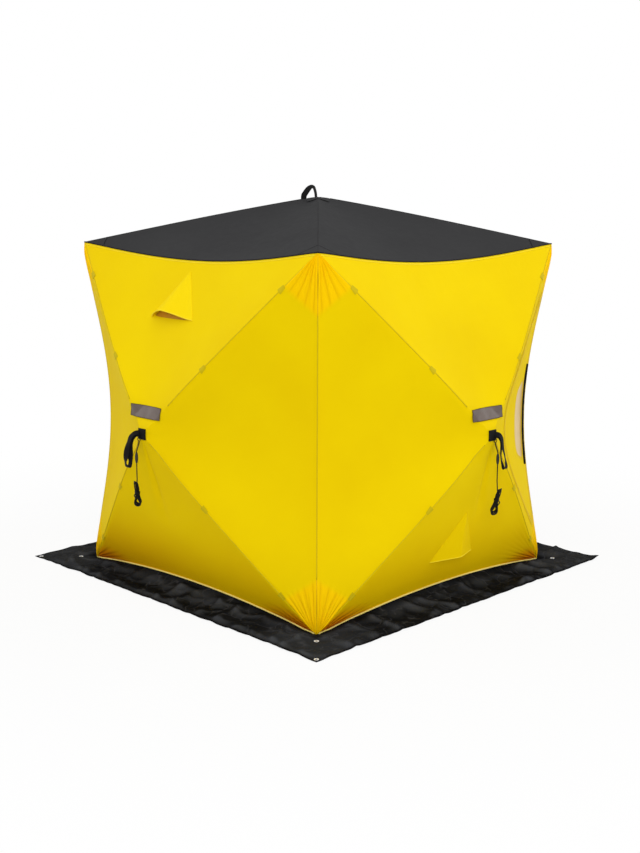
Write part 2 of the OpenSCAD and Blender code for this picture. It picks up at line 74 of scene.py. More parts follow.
# one node with its settings (attributes, or sockets by name or number) and its links (socket: source)
def addNode(tree, kind, settings=None, links=None):
    node = tree.nodes.new("ShaderNode" + kind)
    for name, value in (settings or {}).items():
        if isinstance(name, str) and hasattr(node, name) and name not in node.inputs:
            setattr(node, name, value)
        else:
            node.inputs[name].default_value = value
    for name, source in (links or {}).items():
        tree.links.new(source, node.inputs[name])
    return node


def newMaterial(name):
    material = bpy.data.materials.new(name)
    material.use_nodes = True
    tree = material.node_tree
    tree.nodes.clear()
    return material, tree


# a wave texture's scale for bands that repeat every so many millimetres
def bandScale(mm):
    return math.pi / 10 / (mm / 1000)


# a noise texture's scale for blotches of about so many millimetres
def blotchScale(mm):
    return 1000 / mm


# the last step of each material of the part
def shaded(material, tree, settings, links):
    shader = addNode(tree, "BsdfPrincipled", settings, links)
    addNode(tree, "OutputMaterial", None, {"Surface": shader.outputs["BSDF"]})
    return material


# a pattern between two near colours, with a bump (strength, metres) and a range of roughness where given
def twoTone(material, tree, tint, colors, settings, bump=None, dull=None, height=None):
    mixed = addNode(tree, "Mix", {"data_type": "RGBA", 6: linear(colors[0]), 7: linear(colors[1])}, {0: tint})
    links = {"Base Color": mixed.outputs[2]}
    if bump:
        raised = addNode(tree, "Bump", {"Strength": bump[0], "Distance": bump[1]},
                         {"Height": tint if height is None else height})
        links["Normal"] = raised.outputs["Normal"]
    if dull:
        dulled = addNode(tree, "MapRange", {"To Min": dull[0], "To Max": dull[1]}, {"Value": tint})
        links["Roughness"] = dulled.outputs["Result"]
    return shaded(material, tree, settings, links)


# woven polyester with a waterproof coat: a fine basket weave, a soft low gloss, faint blotches where it is
# stretched. Threads are under 1 mm apart in the real cloth, so the weave is drawn coarser to show at all.
# Sizes of blotches are in millimetres, heights in metres
woven = dict(broad=420, fine=35, blotchFrom=0.3, blotchTo=0.75, dull=0.07, threadHigh=0.0006, crepeHigh=0.003,
             crestMost=0.8, wornFrom=0.45, paleFrom=0.42, paleTo=0.60, creaseBump=0.7)


def wovenCloth(name, color, deep, weave, roughness, gloss, bump, tones=(), creases=None):
    material, tree = newMaterial(name)
    uv = addNode(tree, "UVMap", {"uv_map": "UVMap"}).outputs["UV"]
    place = addNode(tree, "TexCoord").outputs["Object"]
    warp, weft = [addNode(tree, "TexWave", {"bands_direction": way, "Scale": bandScale(weave)},
                          {"Vector": uv}).outputs["Fac"] for way in "XY"]
    basket = addNode(tree, "Math", {"operation": "MULTIPLY"}, {0: warp, 1: weft})
    blotches = [(woven["broad"], 3.0), (woven["fine"], 4.0)]
    broad, fine = [addNode(tree, "TexNoise", {"Scale": blotchScale(size), "Detail": detail},
                           {"Vector": place}).outputs["Fac"] for size, detail in blotches]
    blotch = addNode(tree, "MapRange", {"From Min": woven["blotchFrom"], "From Max": woven["blotchTo"]},
                     {"Value": broad})
    shown = addNode(tree, "Mix", {"data_type": "RGBA", 6: linear(color), 7: linear(deep)},
                    {0: blotch.outputs["Result"]}).outputs[2]
    for tone in tones:  # the doubled cloth's deeper tone, and the painted shade and painted sheen of tucks, creases and folds, held on the mesh
        mask = addNode(tree, "Attribute", {"attribute_name": tone["attribute"]})
        shown = addNode(tree, "Mix", {"data_type": "RGBA", 7: linear(tone["color"])},
                        {0: mask.outputs["Fac"], 6: shown}).outputs[2]
    least, most = roughness - woven["dull"], roughness + woven["dull"]
    dull = addNode(tree, "MapRange", {"To Min": least, "To Max": most}, {"Value": fine})
    grain = addNode(tree, "Bump", {"Strength": bump, "Distance": woven["threadHigh"]},
                    {"Height": basket.outputs["Value"]})
    surface = addNode(tree, "Bump", {"Strength": bump, "Distance": woven["crepeHigh"]},
                      {"Height": fine, "Normal": grain.outputs["Normal"]}).outputs["Normal"]
    if creases:  # a stiff coated cloth crumples in flat facets; their pale crease lines are a painted highlight
        scale = blotchScale(creases["size"])
        wander = addNode(tree, "TexNoise", {"Scale": scale, "Detail": 2.0}, {"Vector": place})
        bent = addNode(tree, "VectorMath", {"operation": "MULTIPLY_ADD", 1: [creases["bend"]] * 3},
                       {0: wander.outputs["Color"], 2: place})
        sides, facets = [addNode(tree, "TexVoronoi", {"feature": feature, "Scale": scale},
                                 {"Vector": bent.outputs["Vector"]})
                         for feature in ("DISTANCE_TO_EDGE", "F1")]
        crest = addNode(tree, "MapRange",
                        {"From Max": creases["wide"], "To Min": woven["crestMost"], "To Max": 0.0},
                        {"Value": sides.outputs["Distance"]})
        worn = addNode(tree, "MapRange", {"From Min": woven["wornFrom"], "To Max": creases["facet"]},
                       {"Value": facets.outputs["Color"]})
        pale = addNode(tree, "MapRange", {"From Min": woven["paleFrom"], "From Max": woven["paleTo"]},
                       {"Value": fine})
        lines = addNode(tree, "Math", {"operation": "MULTIPLY_ADD"},
                        {0: crest.outputs["Result"], 1: pale.outputs["Result"], 2: worn.outputs["Result"]})
        shown = addNode(tree, "Mix", {"data_type": "RGBA", 7: linear(creases["color"])},
                        {0: lines.outputs["Value"], 6: shown}).outputs[2]
        surface = addNode(tree, "Bump", {"Strength": woven["creaseBump"], "Distance": creases["high"]},
                          {"Height": sides.outputs["Distance"], "Normal": surface}).outputs["Normal"]
    return shaded(material, tree, {"IOR": 1.5, "Specular IOR Level": gloss},
                  {"Base Color": shown, "Roughness": dull.outputs["Result"], "Normal": surface})


# nylon webbing and tapes: a strong cross rib, matt, with a little fuzz in its tint
def ribbedWebbing(name, color, light, rib, fuzzSize=6):
    material, tree = newMaterial(name)
    uv, place = addNode(tree, "UVMap", {"uv_map": "UVMap"}), addNode(tree, "TexCoord")
    ribs = addNode(tree, "TexWave", {"bands_direction": "X", "Scale": bandScale(rib)},
                   {"Vector": uv.outputs["UV"]})
    fuzz = addNode(tree, "TexNoise", {"Scale": blotchScale(fuzzSize), "Detail": 3.0},
                   {"Vector": place.outputs["Object"]})
    return twoTone(material, tree, fuzz.outputs["Fac"], (color, light),
                   {"Roughness": 0.72, "IOR": 1.5, "Specular IOR Level": 0.15}, bump=(0.6, 0.0008),
                   height=ribs.outputs["Fac"])


# braided polypropylene rope: two crossing spirals of strands
def braidedRope(name, color, light, lay):
    material, tree = newMaterial(name)
    uv = addNode(tree, "UVMap", {"uv_map": "UVMap"})
    strands = []
    for lean in (1, -1):
        leaning = addNode(tree, "Mapping", {"Rotation": (0, 0, lean * math.pi / 4)},
                          {"Vector": uv.outputs["UV"]})
        wave = addNode(tree, "TexWave", {"Scale": bandScale(lay)}, {"Vector": leaning.outputs["Vector"]})
        strands.append(wave.outputs["Fac"])
    crossed = addNode(tree, "Math", {"operation": "MULTIPLY"}, {0: strands[0], 1: strands[1]})
    return twoTone(material, tree, crossed.outputs["Value"], (color, light),
                   {"Roughness": 0.6, "IOR": 1.49, "Specular IOR Level": 0.2}, bump=(0.7, 0.0006))


# specks of so many millimetres all through a hard material
def speckled(name, colors, size, settings, detail, bump=None, dull=None, kind="TexNoise"):
    material, tree = newMaterial(name)
    place = addNode(tree, "TexCoord")
    specks = addNode(tree, kind, {"Scale": blotchScale(size), "Detail": detail},
                     {"Vector": place.outputs["Object"]})
    return twoTone(material, tree, specks.outputs[0], colors, settings, bump, dull)


# moulded plastic and pultruded rod: an even colour with a fine moulded grain
def mouldedPlastic(name, color, light, roughness, grit):
    return speckled(name, (color, light), grit, {"IOR": 1.5}, 4.0, (0.25, 0.0004),
                    (roughness - 0.08, roughness + 0.08))


# plated brass and wire: metal with fine handling scratches, milky where the plating has dulled
def platedMetal(name, color, worn, roughness, metallic, scratch=5):
    return speckled(name, (color, worn), scratch, {"Metallic": metallic}, 5.0, None,
                    (roughness - 0.08, roughness + 0.12))


# reflective tape: grey glass-bead film with a fine cell pattern
def beadedTape(name, color, cellColor, cell):
    return speckled(name, (color, cellColor), cell, {"Roughness": 0.42, "IOR": 1.5, "Metallic": 0.15}, 0.0,
                    (0.3, 0.0004), None, "TexVoronoi")


# frost-proof window film: milky, with slow ripples
def milkyFilm(name, color, deep, ripple):
    clear = {"Roughness": 0.3, "IOR": 1.54, "Specular IOR Level": 0.2, "Transmission Weight": 0.08}
    return speckled(name, (color, deep), ripple, clear, 2.0, (0.35, 0.004))


# tones that the mesh blends in: the walls' painted shade, the fans' doubled cloth and its pleats' painted
# shade, the skirt's painted sheen
warm = dict(attribute="warm", color="#D28C00")
tuck = dict(attribute="tuck", color="#F08200")
crease = dict(attribute="crease", color="#6E2A00")
doubled = dict(attribute="warm", color="#FBCC00")
pleat = dict(attribute="tuck", color="#D6A200")
paintedSheen = dict(attribute="paintedSheen", color="#434549")
yellowCloth = wovenCloth("yellow oxford cloth", "#F0D100", "#EAC800", 4, 0.66, 0.03, 0.10,
                         [warm, tuck, crease])
gussetCloth = wovenCloth("doubled yellow cloth", "#F0D100", "#EAC800", 4, 0.66, 0.03, 0.10,
                         [doubled, pleat])
greyCloth = wovenCloth("dark grey oxford cloth", "#373738", "#323233", 4, 0.7, 0.06, 0.12)
skirtCloth = wovenCloth("black coated cloth", "#0D0E11", "#090A0C", 4, 0.60, 0.008, 0.14, [paintedSheen],
                        dict(size=105, wide=0.045, bend=0.14, facet=0.12, color="#3B3C40", high=0.030))
blindCloth = wovenCloth("black blind cloth", "#141416", "#0E0E10", 4, 0.66, 0.12, 0.12)
seamShadePiping = ribbedWebbing("olive seam tape", "#CDB206", "#D6BA08", 5)
hemHighlight = ribbedWebbing("pale hem highlight", "#FBE88C", "#F4DC70", 5)
eaveTape = ribbedWebbing("bright eave tape", "#F8E02A", "#F1D51A", 5)
tieShadePatch = ribbedWebbing("olive tie shade", "#D0B806", "#C6AE06", 5)
yellowBinding = ribbedWebbing("yellow binding tape", "#EBC90A", "#E0BC08", 5)
fanBinding = ribbedWebbing("amber corner binding", "#E9BC04", "#DFAE04", 5)
stripEdge = ribbedWebbing("strip edging", "#4A3616", "#54401C", 4)
patchCloth = wovenCloth("black ballistic cloth", "#121213", "#0D0D0E", 3, 0.66, 0.12, 0.3)
hoodCloth = wovenCloth("stiffened yellow cloth", "#F6D90E", "#F2D208", 4, 0.66, 0.03, 0.08)
blackTape = ribbedWebbing("black edge tape", "#151516", "#1E1E20", 5)
greyTape = ribbedWebbing("dark grey seam tape", "#1F1F20", "#272729", 5)
webbing = ribbedWebbing("black nylon webbing", "#0B0A0A", "#141313", 3)
blackThread = ribbedWebbing("black sewing thread", "#2A2A2C", "#343436", 2)
rope = braidedRope("black braided rope", "#0A0909", "#1A1817", 3)
hubPlastic = mouldedPlastic("moulded black nylon", "#1C1C1E", "#26262A", 0.45, 3)
sliderPlastic = mouldedPlastic("moulded black acetal", "#0D0D0E", "#131314", 0.55, 2)
rodFibre = mouldedPlastic("pultruded glass fibre rod", "#2A2C2E", "#36383A", 0.4, 6)
zipPlastic = mouldedPlastic("yellow zip coil", "#E3C40A", "#DBBB08", 0.5, 2)
meshNet = mouldedPlastic("brown vent net", "#E0A41C", "#D69818", 0.7, 3)
# the eyelets are near white with little metal: a painted glint in place of the nickel's reflection
eyeletMetal = platedMetal("nickelled eyelet", "#F2F4FA", "#E2E5EC", 0.34, 0.1)
ringMetal = platedMetal("blackened wire ring", "#1A1A1B", "#101011", 0.45, 0.8)
tapeFilm = beadedTape("grey reflective tape", "#65574F", "#594B44", 4)
windowFilm = milkyFilm("milky window film", "#E6C26E", "#DCB458", 60)
print("materials ready")

# the tent's own sizes: corners, hubs and how far its edges curve in
tent = dict(baseHalf=0.750, eaveHalf=0.760, eaveH=1.505, hubR=1.030, hubH=0.745, apexH=1.715,
            edgePull=0.093, eaveDrop=0.058, eaveIn=0.050, hemLift=0.055, hemOut=0.020)
edgeShape = [1.0, 1.7, 1.2, 1.7]  # the stretched edges run straighter from the corners than a plain bow
hubTip = Vector((0, -tent["hubR"], tent["hubH"]))
roofTip = Vector((0, 0, tent["apexH"]))
wallNames = ["front_wall", "right_wall", "back_wall", "left_wall"]


def bow(s):
    return 4 * s * (1 - s)


def smooth(x):
    x = min(max(x, 0), 1)
    return x * x * (3 - 2 * x)


# the third coordinate keeps the noise of one use apart from another's
seeds = dict(panel=5.0, roof=40.0, drift=8.0, sway=3.0, slope=50.0, wave=30.0, hood=70.0, patch=80.0,
             blind=90.0)


def wobble(x, y, z):
    return noise.noise(Vector((x, y, z)))


def turned(p, w):
    return Matrix.Rotation(w * math.pi / 2, 3, "Z") @ p


base, eave, pull = tent["baseHalf"], tent["eaveHalf"], tent["edgePull"] / math.sqrt(2)
wallCorners = [Vector((-base, -base, 0)), Vector((base, -base, 0)),
               Vector((eave, -eave, tent["eaveH"])), Vector((-eave, -eave, tent["eaveH"]))]
edgeShifts = [Vector((0, -tent["hemOut"], tent["hemLift"])), Vector((-pull, pull, 0)),
              Vector((0, tent["eaveIn"], -tent["eaveDrop"])), Vector((pull, pull, 0))]


# the four edges of a wall, anticlockwise from outside: 0 hem, 1 right, 2 eave, 3 left
def wallEdge(k, s):
    return wallCorners[k].lerp(wallCorners[(k + 1) % 4], s) + max(bow(s), 0) ** edgeShape[k] * edgeShifts[k]


# how the stretched cloth departs from straight panels: rods bow the ridges out, corners gather into tucks
stretch = dict(ridgeBow=0.015, ridgePeak=0.7, hollow=0.75, ripple=0.0022, rippleScale=3.2,
               rippleRise=1.4, tuckStart=0.05, foldWidth=0.032, foldReach=0.62, keepEdge=14,
               calmSide=7, calmEdge=6, calmHub=3,
               hubFolds=[[(0.46, -0.014)], [(0.61, -0.012)],
                         [(0.42, 0.004), (0.60, 0.005)], [(0.42, 0.004), (0.60, 0.005)]])
gathers = {0: dict(folds=9, high=0.0050, reach=0.24), 1: dict(folds=7, high=0.0065, reach=0.15),
           2: dict(folds=5, high=0.0012, reach=0.12), 3: dict(folds=7, high=0.0065, reach=0.15)}
# the cloth is rounded over the rods, most of all close to the hub, and the hub's cap blunts the tip
ridges = dict(round=0.011, hubRound=0.09, hubReach=0.16, most=0.7, cap=1.0262, soft=0.005, probe=(0.06, 0.94),
              probeOut=0.6, cornerProbe=(0.03, 0.97))


# how steeply panel k falls away sideways from the ridge to one of its corners
def ridgeSlope(k, end, corner):
    line = Vector((corner.x, corner.z - tent["hubH"]))
    p = hubTip.lerp(wallEdge(k, ridges["probe"][end]), ridges["probeOut"])
    spot = Vector((p.x, p.z - tent["hubH"]))
    ahead = spot.dot(line.normalized()) / line.length
    aside = abs(line.normalized().cross(spot))
    return (tent["hubR"] + (-corner.y - tent["hubR"]) * ahead + p.y) / aside


ridgeLines = []
for i, corner in enumerate(wallCorners):
    slope = (ridgeSlope(i, 0, corner) + ridgeSlope((i + 3) % 4, 1, corner)) / 2
    ridgeLines.append((Vector((corner.x, corner.z - tent["hubH"])).normalized(), slope))


# how far the rounding lowers a point of the wall's front view
def ridgeDrop(x, z):
    spot = Vector((x, z - tent["hubH"]))
    drop = 0.0
    for line, slope in ridgeLines:
        ahead, aside = spot.dot(line), abs(line.cross(spot))
        if ahead > 0:
            r = min(ridges["round"] + ridges["hubRound"] * math.exp(-(ahead / ridges["hubReach"]) ** 2),
                    ridges["most"] * ahead)
            if aside < r:
                drop += slope * (r / 2 - aside + aside * aside / (2 * r))
    return drop


cornerFrames = {}
for k in range(4):
    cornerFrames[k] = []
    for end, step in enumerate(ridges["cornerProbe"]):
        corner = wallEdge(k, end)
        along = (wallEdge(k, step) - corner).normalized()
        cornerFrames[k].append((corner, along, along.angle(hubTip - corner)))


# loose ripples die out towards the seams
def calmShare(s, t):
    return min(1, stretch["calmSide"] * min(s, 1 - s)) * min(1, stretch["calmEdge"] * (1 - t))


# a point of a wall panel: s runs along its outer edge, t runs out from the hub; the wall is w turns round
def wallPoint(w, k, s, t, lift=0.0):
    p = hubTip.lerp(wallEdge(k, s), t)
    out = stretch["ridgeBow"] * math.sin(math.pi * t ** stretch["ridgePeak"])
    out *= 1 - stretch["hollow"] * bow(s)
    gather = gathers[k]
    for corner, along, spread in cornerFrames[k]:
        arm = p - corner
        r = arm.length
        if 1e-6 < r < 3 * gather["reach"]:
            turn = min(along.angle(arm) / spread, 1)
            rise = min(r / stretch["tuckStart"], 1) * math.exp(-(r / gather["reach"]) ** 2)
            out += gather["high"] * rise * abs(math.sin(gather["folds"] * math.pi * turn))
    scale = stretch["rippleScale"]
    ripple = wobble(p.x * scale, p.z * scale * stretch["rippleRise"], seeds["panel"] * w + k)
    out += calmShare(s, t) * min(1, stretch["calmHub"] * t) * stretch["ripple"] * ripple
    if k == 0:
        for place, high in stretch["hubFolds"][w]:
            fold = math.exp(-((s - place) / stretch["foldWidth"]) ** 2)
            out += high * fold * math.sin(math.pi * min(t / stretch["foldReach"], 1))
    out -= ridgeDrop(p.x, p.z) * min(1, stretch["keepEdge"] * max(1 - t, 0))
    reach = out - p.y
    low = ridges["cap"] - ridges["soft"]
    if reach > low:
        reach = ridges["cap"] - ridges["soft"] * math.exp((low - reach) / ridges["soft"])
    p.y = -reach - lift
    return p


def wallSpot(w, k, s, t, lift=0.0):
    return turned(wallPoint(w, k, s, t, lift), w)


def edgeTurn(k, s):
    p = wallEdge(k, s)
    return math.atan2(p.z - tent["hubH"], p.x)


# the panel and shares at a place of the wall's front view
def shareAt(x, z):
    turn = math.atan2(z - tent["hubH"], x)
    starts = [edgeTurn(k, 0) for k in range(4)]
    k = 3
    for i in range(3):
        if starts[i] <= turn < starts[i + 1]:
            k = i
    target = turn + 2 * math.pi if k == 3 and turn < 0 else turn
    low, high = 0.0, 1.0
    for step in range(32):  # closing in by halves
        middle = (low + high) / 2
        here = edgeTurn(k, middle)
        here += 2 * math.pi if k == 3 and here < 0 else 0
        low, high = (middle, high) if here < target else (low, middle)
    p = wallEdge(k, low)
    reach = math.hypot(p.x, p.z - tent["hubH"])
    return k, low, math.hypot(x, z - tent["hubH"]) / reach


def onWall(w, x, z, lift=0.0):
    return wallPoint(w, *shareAt(x, z), lift)


# shares part of the way from one place of a panel to another
def between(a, b, f):
    return [p + (q - p) * f for p, q in zip(a, b)]


# finer steps towards both ends
def endwise(u):
    return 0.5 - 0.5 * math.cos(math.pi * u)


def planUv(u, v, co):
    return co.x, co.y


def sideUv(u, v, co):
    return co.y, co.z


# a grid whose points are moved to place(u, v), with its UV map in metres
def addGrid(bm, nu, nv, place, uvOf=None):
    uv = bm.loops.layers.uv.verify()
    made = bmesh.ops.create_grid(bm, x_segments=nu, y_segments=nv, size=0.5)["verts"]
    spots = {}
    for vert in made:
        u, v = vert.co.x + 0.5, vert.co.y + 0.5
        vert.co = place(u, v)
        spots[vert] = uvOf(u, v, vert.co) if uvOf else (vert.co.x, vert.co.z)
    for vert in made:
        for loop in vert.link_loops:
            loop[uv].uv = spots[vert]
    return made


def turnMesh(bm, w):
    bmesh.ops.rotate(bm, cent=(0, 0, 0), matrix=Matrix.Rotation(w * math.pi / 2, 3, "Z"), verts=bm.verts)


def merge(bm, distance=0.00002):
    bmesh.ops.remove_doubles(bm, verts=bm.verts, dist=distance)
    bmesh.ops.dissolve_degenerate(bm, edges=bm.edges, dist=distance)


# the finished piece: smooth faces, its material, its body and what it stands for. A cloth's thickness goes
# inwards with offset -1 and to both sides with 0
def finishPiece(name, bm, material, replaced=(), thick=0.0, offset=-1.0):
    mesh = bpy.data.meshes.new(name)
    for edge in bm.edges:  # a cut edge stays crisp, so that its rim doesn't shade the face
        edge.smooth = not edge.is_boundary
    bm.to_mesh(mesh)
    bm.free()
    mesh.polygons.foreach_set("use_smooth", [True] * len(mesh.polygons))
    mesh.materials.append(material)
    obj = bpy.data.objects.new(name, mesh)
    scene.collection.objects.link(obj)
    if thick:
        modifier = obj.modifiers.new("thickness", "SOLIDIFY")
        modifier.thickness = thick
        modifier.offset = offset
    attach(obj, "root")
    if replaced:
        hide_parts(*replaced)
    return obj


# a path through the given points, rounded by Catmull-Rom
def roundedPath(points, steps):
    points = [Vector(p) for p in points]
    path = []
    for i in range(len(points) - 1):
        a, b = points[max(i - 1, 0)], points[i]
        c, d = points[i + 1], points[min(i + 2, len(points) - 1)]
        for j in range(steps):
            f = j / steps
            path.append(0.5 * (2 * b + (c - a) * f + (2 * a - 5 * b + 4 * c - d) * f * f
                               + (3 * b - a - 3 * c + d) * f ** 3))
    return path + [points[-1]]


# how far along a path each of its points lies
def pathSteps(path):
    steps = [0.0]
    for a, b in zip(path, path[1:]):
        steps.append(steps[-1] + (b - a).length)
    return steps


def heading(path, i):
    return (path[min(i + 1, len(path) - 1)] - path[max(i - 1, 0)]).normalized()


# side and top directions that follow a path without twisting
def pathFrames(path):
    frames, side = [], None
    for i in range(len(path)):
        along = heading(path, i)
        side = side or along.orthogonal()
        side = (side - along * side.dot(along)).normalized()
        frames.append((side, along.cross(side)))
    return frames


# how many sides the round tubes have, by their thickness, and how many steps a band has across
tubeSides = dict(thread=5, thin=6, full=8)
bandSteps = 4


# a round tube along a path, closed at its ends
def addTube(bm, path, radius, sides):
    frames = pathFrames(path)
    steps, last = pathSteps(path), len(path) + 1

    def place(u, v):
        i = round(u * last)
        j = min(max(i - 1, 0), len(path) - 1)
        r = 0.0 if i in (0, last) else radius
        side, top = frames[j]
        turn = 2 * math.pi * v
        return path[j] + r * (math.cos(turn) * side + math.sin(turn) * top)

    def uvOf(u, v, co):
        return steps[min(max(round(u * last) - 1, 0), len(path) - 1)], v * 2 * math.pi * radius

    addGrid(bm, last, sides, place, uvOf)


# a flat band along a path: across gives its width direction at each point
def addBand(bm, path, across, width, crown=0.0):
    steps, count = pathSteps(path), len(path) - 1

    def place(u, v):
        i = round(u * count)
        out = across[i].cross(heading(path, i)).normalized()
        return path[i] + across[i].normalized() * (v - 0.5) * width + out * crown * bow(v)

    addGrid(bm, count, bandSteps, place, lambda u, v, co: (steps[round(u * count)], (v - 0.5) * width))


# guy ropes: the route from ring to hank is the part's own. The rest is folded into a slim hank: the rope
# runs down its front, turns to and fro, then wraps the waist and ends in a short loose tail
guy = dict(diameter=0.0046, turns=3.5, pitch=0.0050, turnSteps=48, waist=0.0030, shrinkWide=0.05,
           shrinkHigh=0.055, wraps=3, wrapSteps=24, wrapRadius=0.0094, wrapTop=0.0079, wrapPitch=0.0046,
           twistTop=30, twistBottom=-30, length=1.28, cutBack=4, bridge=(0.35, 0.7), bridgeSteps=6,
           riseTurns=(0, 36, 72), tailSteps=5, routeSteps=4,
           tail=[(0.0010, 0.0080, -0.0016), (0.0075, 0.0150, -0.0035), (0.0170, 0.0185, -0.0065),
                 (0.0265, 0.0190, -0.0130)])
frontHank = dict(middle=0.4957, high=0.0500, low=0.0540, topSwell=0.0265, bottomSwell=0.031, lean=0.20,
                 leanBottom=0.09)
rightHank = dict(middle=0.4720, high=0.0460, low=0.0590, topSwell=0.029, bottomSwell=0.032, lean=0.50,
                 leanBottom=0.38)
frontRoute = [(-0.014, -1.030, 0.7115), (-0.014, -1.0315, 0.704), (-0.014, -1.036, 0.693),
              (-0.014, -1.041, 0.682), (-0.014, -1.0445, 0.672), (-0.014, -1.045, 0.667),
              (-0.014, -1.045, 0.646), (-0.014, -1.045, 0.624), (-0.014, -1.045, 0.610),
              (-0.014, -1.045, 0.598), (-0.014, -1.045, 0.586), (-0.014, -1.045, 0.574),
              (-0.014, -1.045, 0.562), (-0.014, -1.045, 0.552)]
rightRoute = [(1.030, 0.014, 0.7115), (1.0315, 0.014, 0.704), (1.036, 0.014, 0.693), (1.041, 0.014, 0.682),
              (1.0445, 0.014, 0.672), (1.045, 0.014, 0.667), (1.045, 0.014, 0.646), (1.045, 0.014, 0.624),
              (1.045, 0.014, 0.610), (1.045, 0.014, 0.598), (1.045, 0.014, 0.586), (1.045, 0.014, 0.574),
              (1.045, 0.014, 0.562), (1.045, 0.014, 0.552)]


# the hank's centreline in its own frame: x along the wall, y outwards, z up from its middle
def hankPath(shape):
    depth = guy["turns"] * guy["pitch"] / 2
    total = round(guy["turns"] * guy["turnSteps"])
    path = []
    for i in range(total + 1):  # to and fro, from front to back
        angle = -2 * math.pi * i / guy["turnSteps"]
        s, c = math.sin(angle), math.cos(angle)
        swell = shape["topSwell"] if s > 0 else shape["bottomSwell"]
        inner = i / guy["turnSteps"]  # each turn lies inside the one before
        x = c * (guy["waist"] + swell * s * s * (1 - guy["shrinkWide"] * inner))
        reach = shape["high"] if s > 0 else shape["low"]
        y, z = depth * (1 - 2 * i / total), reach * s * (1 - guy["shrinkHigh"] * inner)
        share = smooth(abs(s))
        twist = math.radians(guy["twistTop"] if s > 0 else guy["twistBottom"]) * share
        x, y = x * math.cos(twist) - y * math.sin(twist), x * math.sin(twist) + y * math.cos(twist)
        x -= (shape["lean"] if z > 0 else shape["leanBottom"]) * z
        path.append(Vector((x, y, z)))
    r, top = guy["wrapRadius"], guy["wrapTop"]
    wraps = []
    for i in range(1, guy["wraps"] * guy["wrapSteps"] + 1):  # round the waist, downwards
        share = i / guy["wrapSteps"]
        angle = math.pi - 2 * math.pi * share
        wraps.append(Vector((r * math.cos(angle), r * math.sin(angle), top - guy["wrapPitch"] * share)))
    path = path[:-guy["cutBack"]]  # the last run rises at the hank's side and turns outwards into the wraps
    rise = []
    for a in [math.radians(degrees) for degrees in guy["riseTurns"]]:
        rise.append(Vector((-r, -r * math.cos(a), top - r + r * math.sin(a))))
    steps = guy["bridgeSteps"]
    bridge = path[-2:] + [path[-1].lerp(rise[0], share) for share in guy["bridge"]] + rise[1:] + wraps[:2]
    path += roundedPath(bridge, steps)[steps + 1:-steps - 1] + wraps
    loose = wraps[-2:] + [wraps[-1] + Vector(shift) for shift in guy["tail"]]
    return path + roundedPath(loose, guy["tailSteps"])[guy["tailSteps"] + 1:]


def guyRope(name, route, w, mirror, slider, shape):
    hang = turned(Vector(route[-1]), -w)
    hank = []
    for p in hankPath(shape):
        hank.append(turned(Vector((hang.x + mirror * p.x, hang.y - p.y, shape["middle"] + p.z)), w))
    down = Vector(route[-1]).lerp(hank[0], 0.5)
    steps = guy["routeSteps"]
    path = roundedPath([*route, down, hank[0], hank[1]], steps)[:-steps] + hank[1:]
    bm = bmesh.new()
    addTube(bm, path, guy["diameter"] / 2, tubeSides["full"])
    merge(bm)
    replaced = [slider.replace("slider", word) for word in ("rope", "hank")]
    obj = finishPiece(name, bm, rope, replaced)
    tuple(route[0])
    print(name, "is", round(pathSteps(path)[-1], 3), "m long")


guyRope("front_rope", frontRoute, 0, 1, "front_guy_slider", frontHank)
guyRope("right_rope", rightRoute, 1, -1, "right_guy_slider", rightHank)

# walls: four stretched panels each, with the vents and the door cut out
openings = dict(tip=0.006, doorGap=0.0006, start=0.625,
                upper=dict(k=2, s=0.545, t=0.690, along=0.180, out=0.052, round=0.30, taper=0.38),
                lower=dict(k=0, s=0.5, t=0.7028, along=0.170, out=0.096, round=0.75),
                door=dict(k=1, s=0.49, t=0.632, along=0.770, out=0.506, round=0.30),
                window=dict(k=1, s=0.463, t=0.7700, along=0.343, out=0.204, round=0.42))
panelGrid = dict(along=72, out=44, ring=60, dense=1.5, even=0.3, weld=0.000004)
wallCloth = dict(thick=0.0016, flat=(1.75, 1.62), areas=[2.31, 1.93, 2.32, 2.32])


# a rounded outline in a panel, as shares; grow widens it in metres
def outlineAt(opening, q, grow=0.0):
    k, t = opening["k"], opening["t"]
    edgeLength = (wallCorners[(k + 1) % 4] - wallCorners[k]).length
    outLength = (wallEdge(k, 0.5) - hubTip).length
    ds = (opening["along"] / 2 + grow) / (edgeLength * t)
    dt = (opening["out"] / 2 + grow) / outLength
    turn = 2 * math.pi * (openings["start"] + q)
    c, s = math.cos(turn), math.sin(turn)
    across, up = math.copysign(abs(c) ** opening["round"], c), math.copysign(abs(s) ** opening["round"], s)
    return opening["s"] + ds * across * (1 + opening.get("taper", 0) * up), t - dt * up


# the panel's border as shares, anticlockwise from its lower left corner
def borderAt(q):
    side, f = int(q * 4) % 4, q * 4 - int(q * 4)
    f = panelGrid["even"] * f + (1 - panelGrid["even"]) * endwise(f)  # closer set at the corners
    low = openings["tip"]
    return [(f, 1), (1, 1 + (low - 1) * f), (1 - f, low), (0, low + (1 - low) * f)][side]


# painted shade kept on each point: the lower panels deepen to orange towards the hem, by a share set per
# wall, and orange tucks with dark brown creases run out from the hem's corners
toning = dict(warmFrom=0.42, warmFull=0.04, warmMost=[0.62, 0.26, 0.5, 0.5], warmFade=0.45, tuckLong=0.29,
              tuckHigh=0.078, tuckFrom=1.2, tuckEdge=0.012, tuckMost=0.9, rays=[0.03, 0.12, 0.23, 0.40],
              rayWide=0.036, raySway=0.05, swayScale=14, edge=0.035, drift=0.12, driftScale=(2.4, 3.5),
              fadeFrom=-0.35, fadeWide=0.5, blunt=0.01)


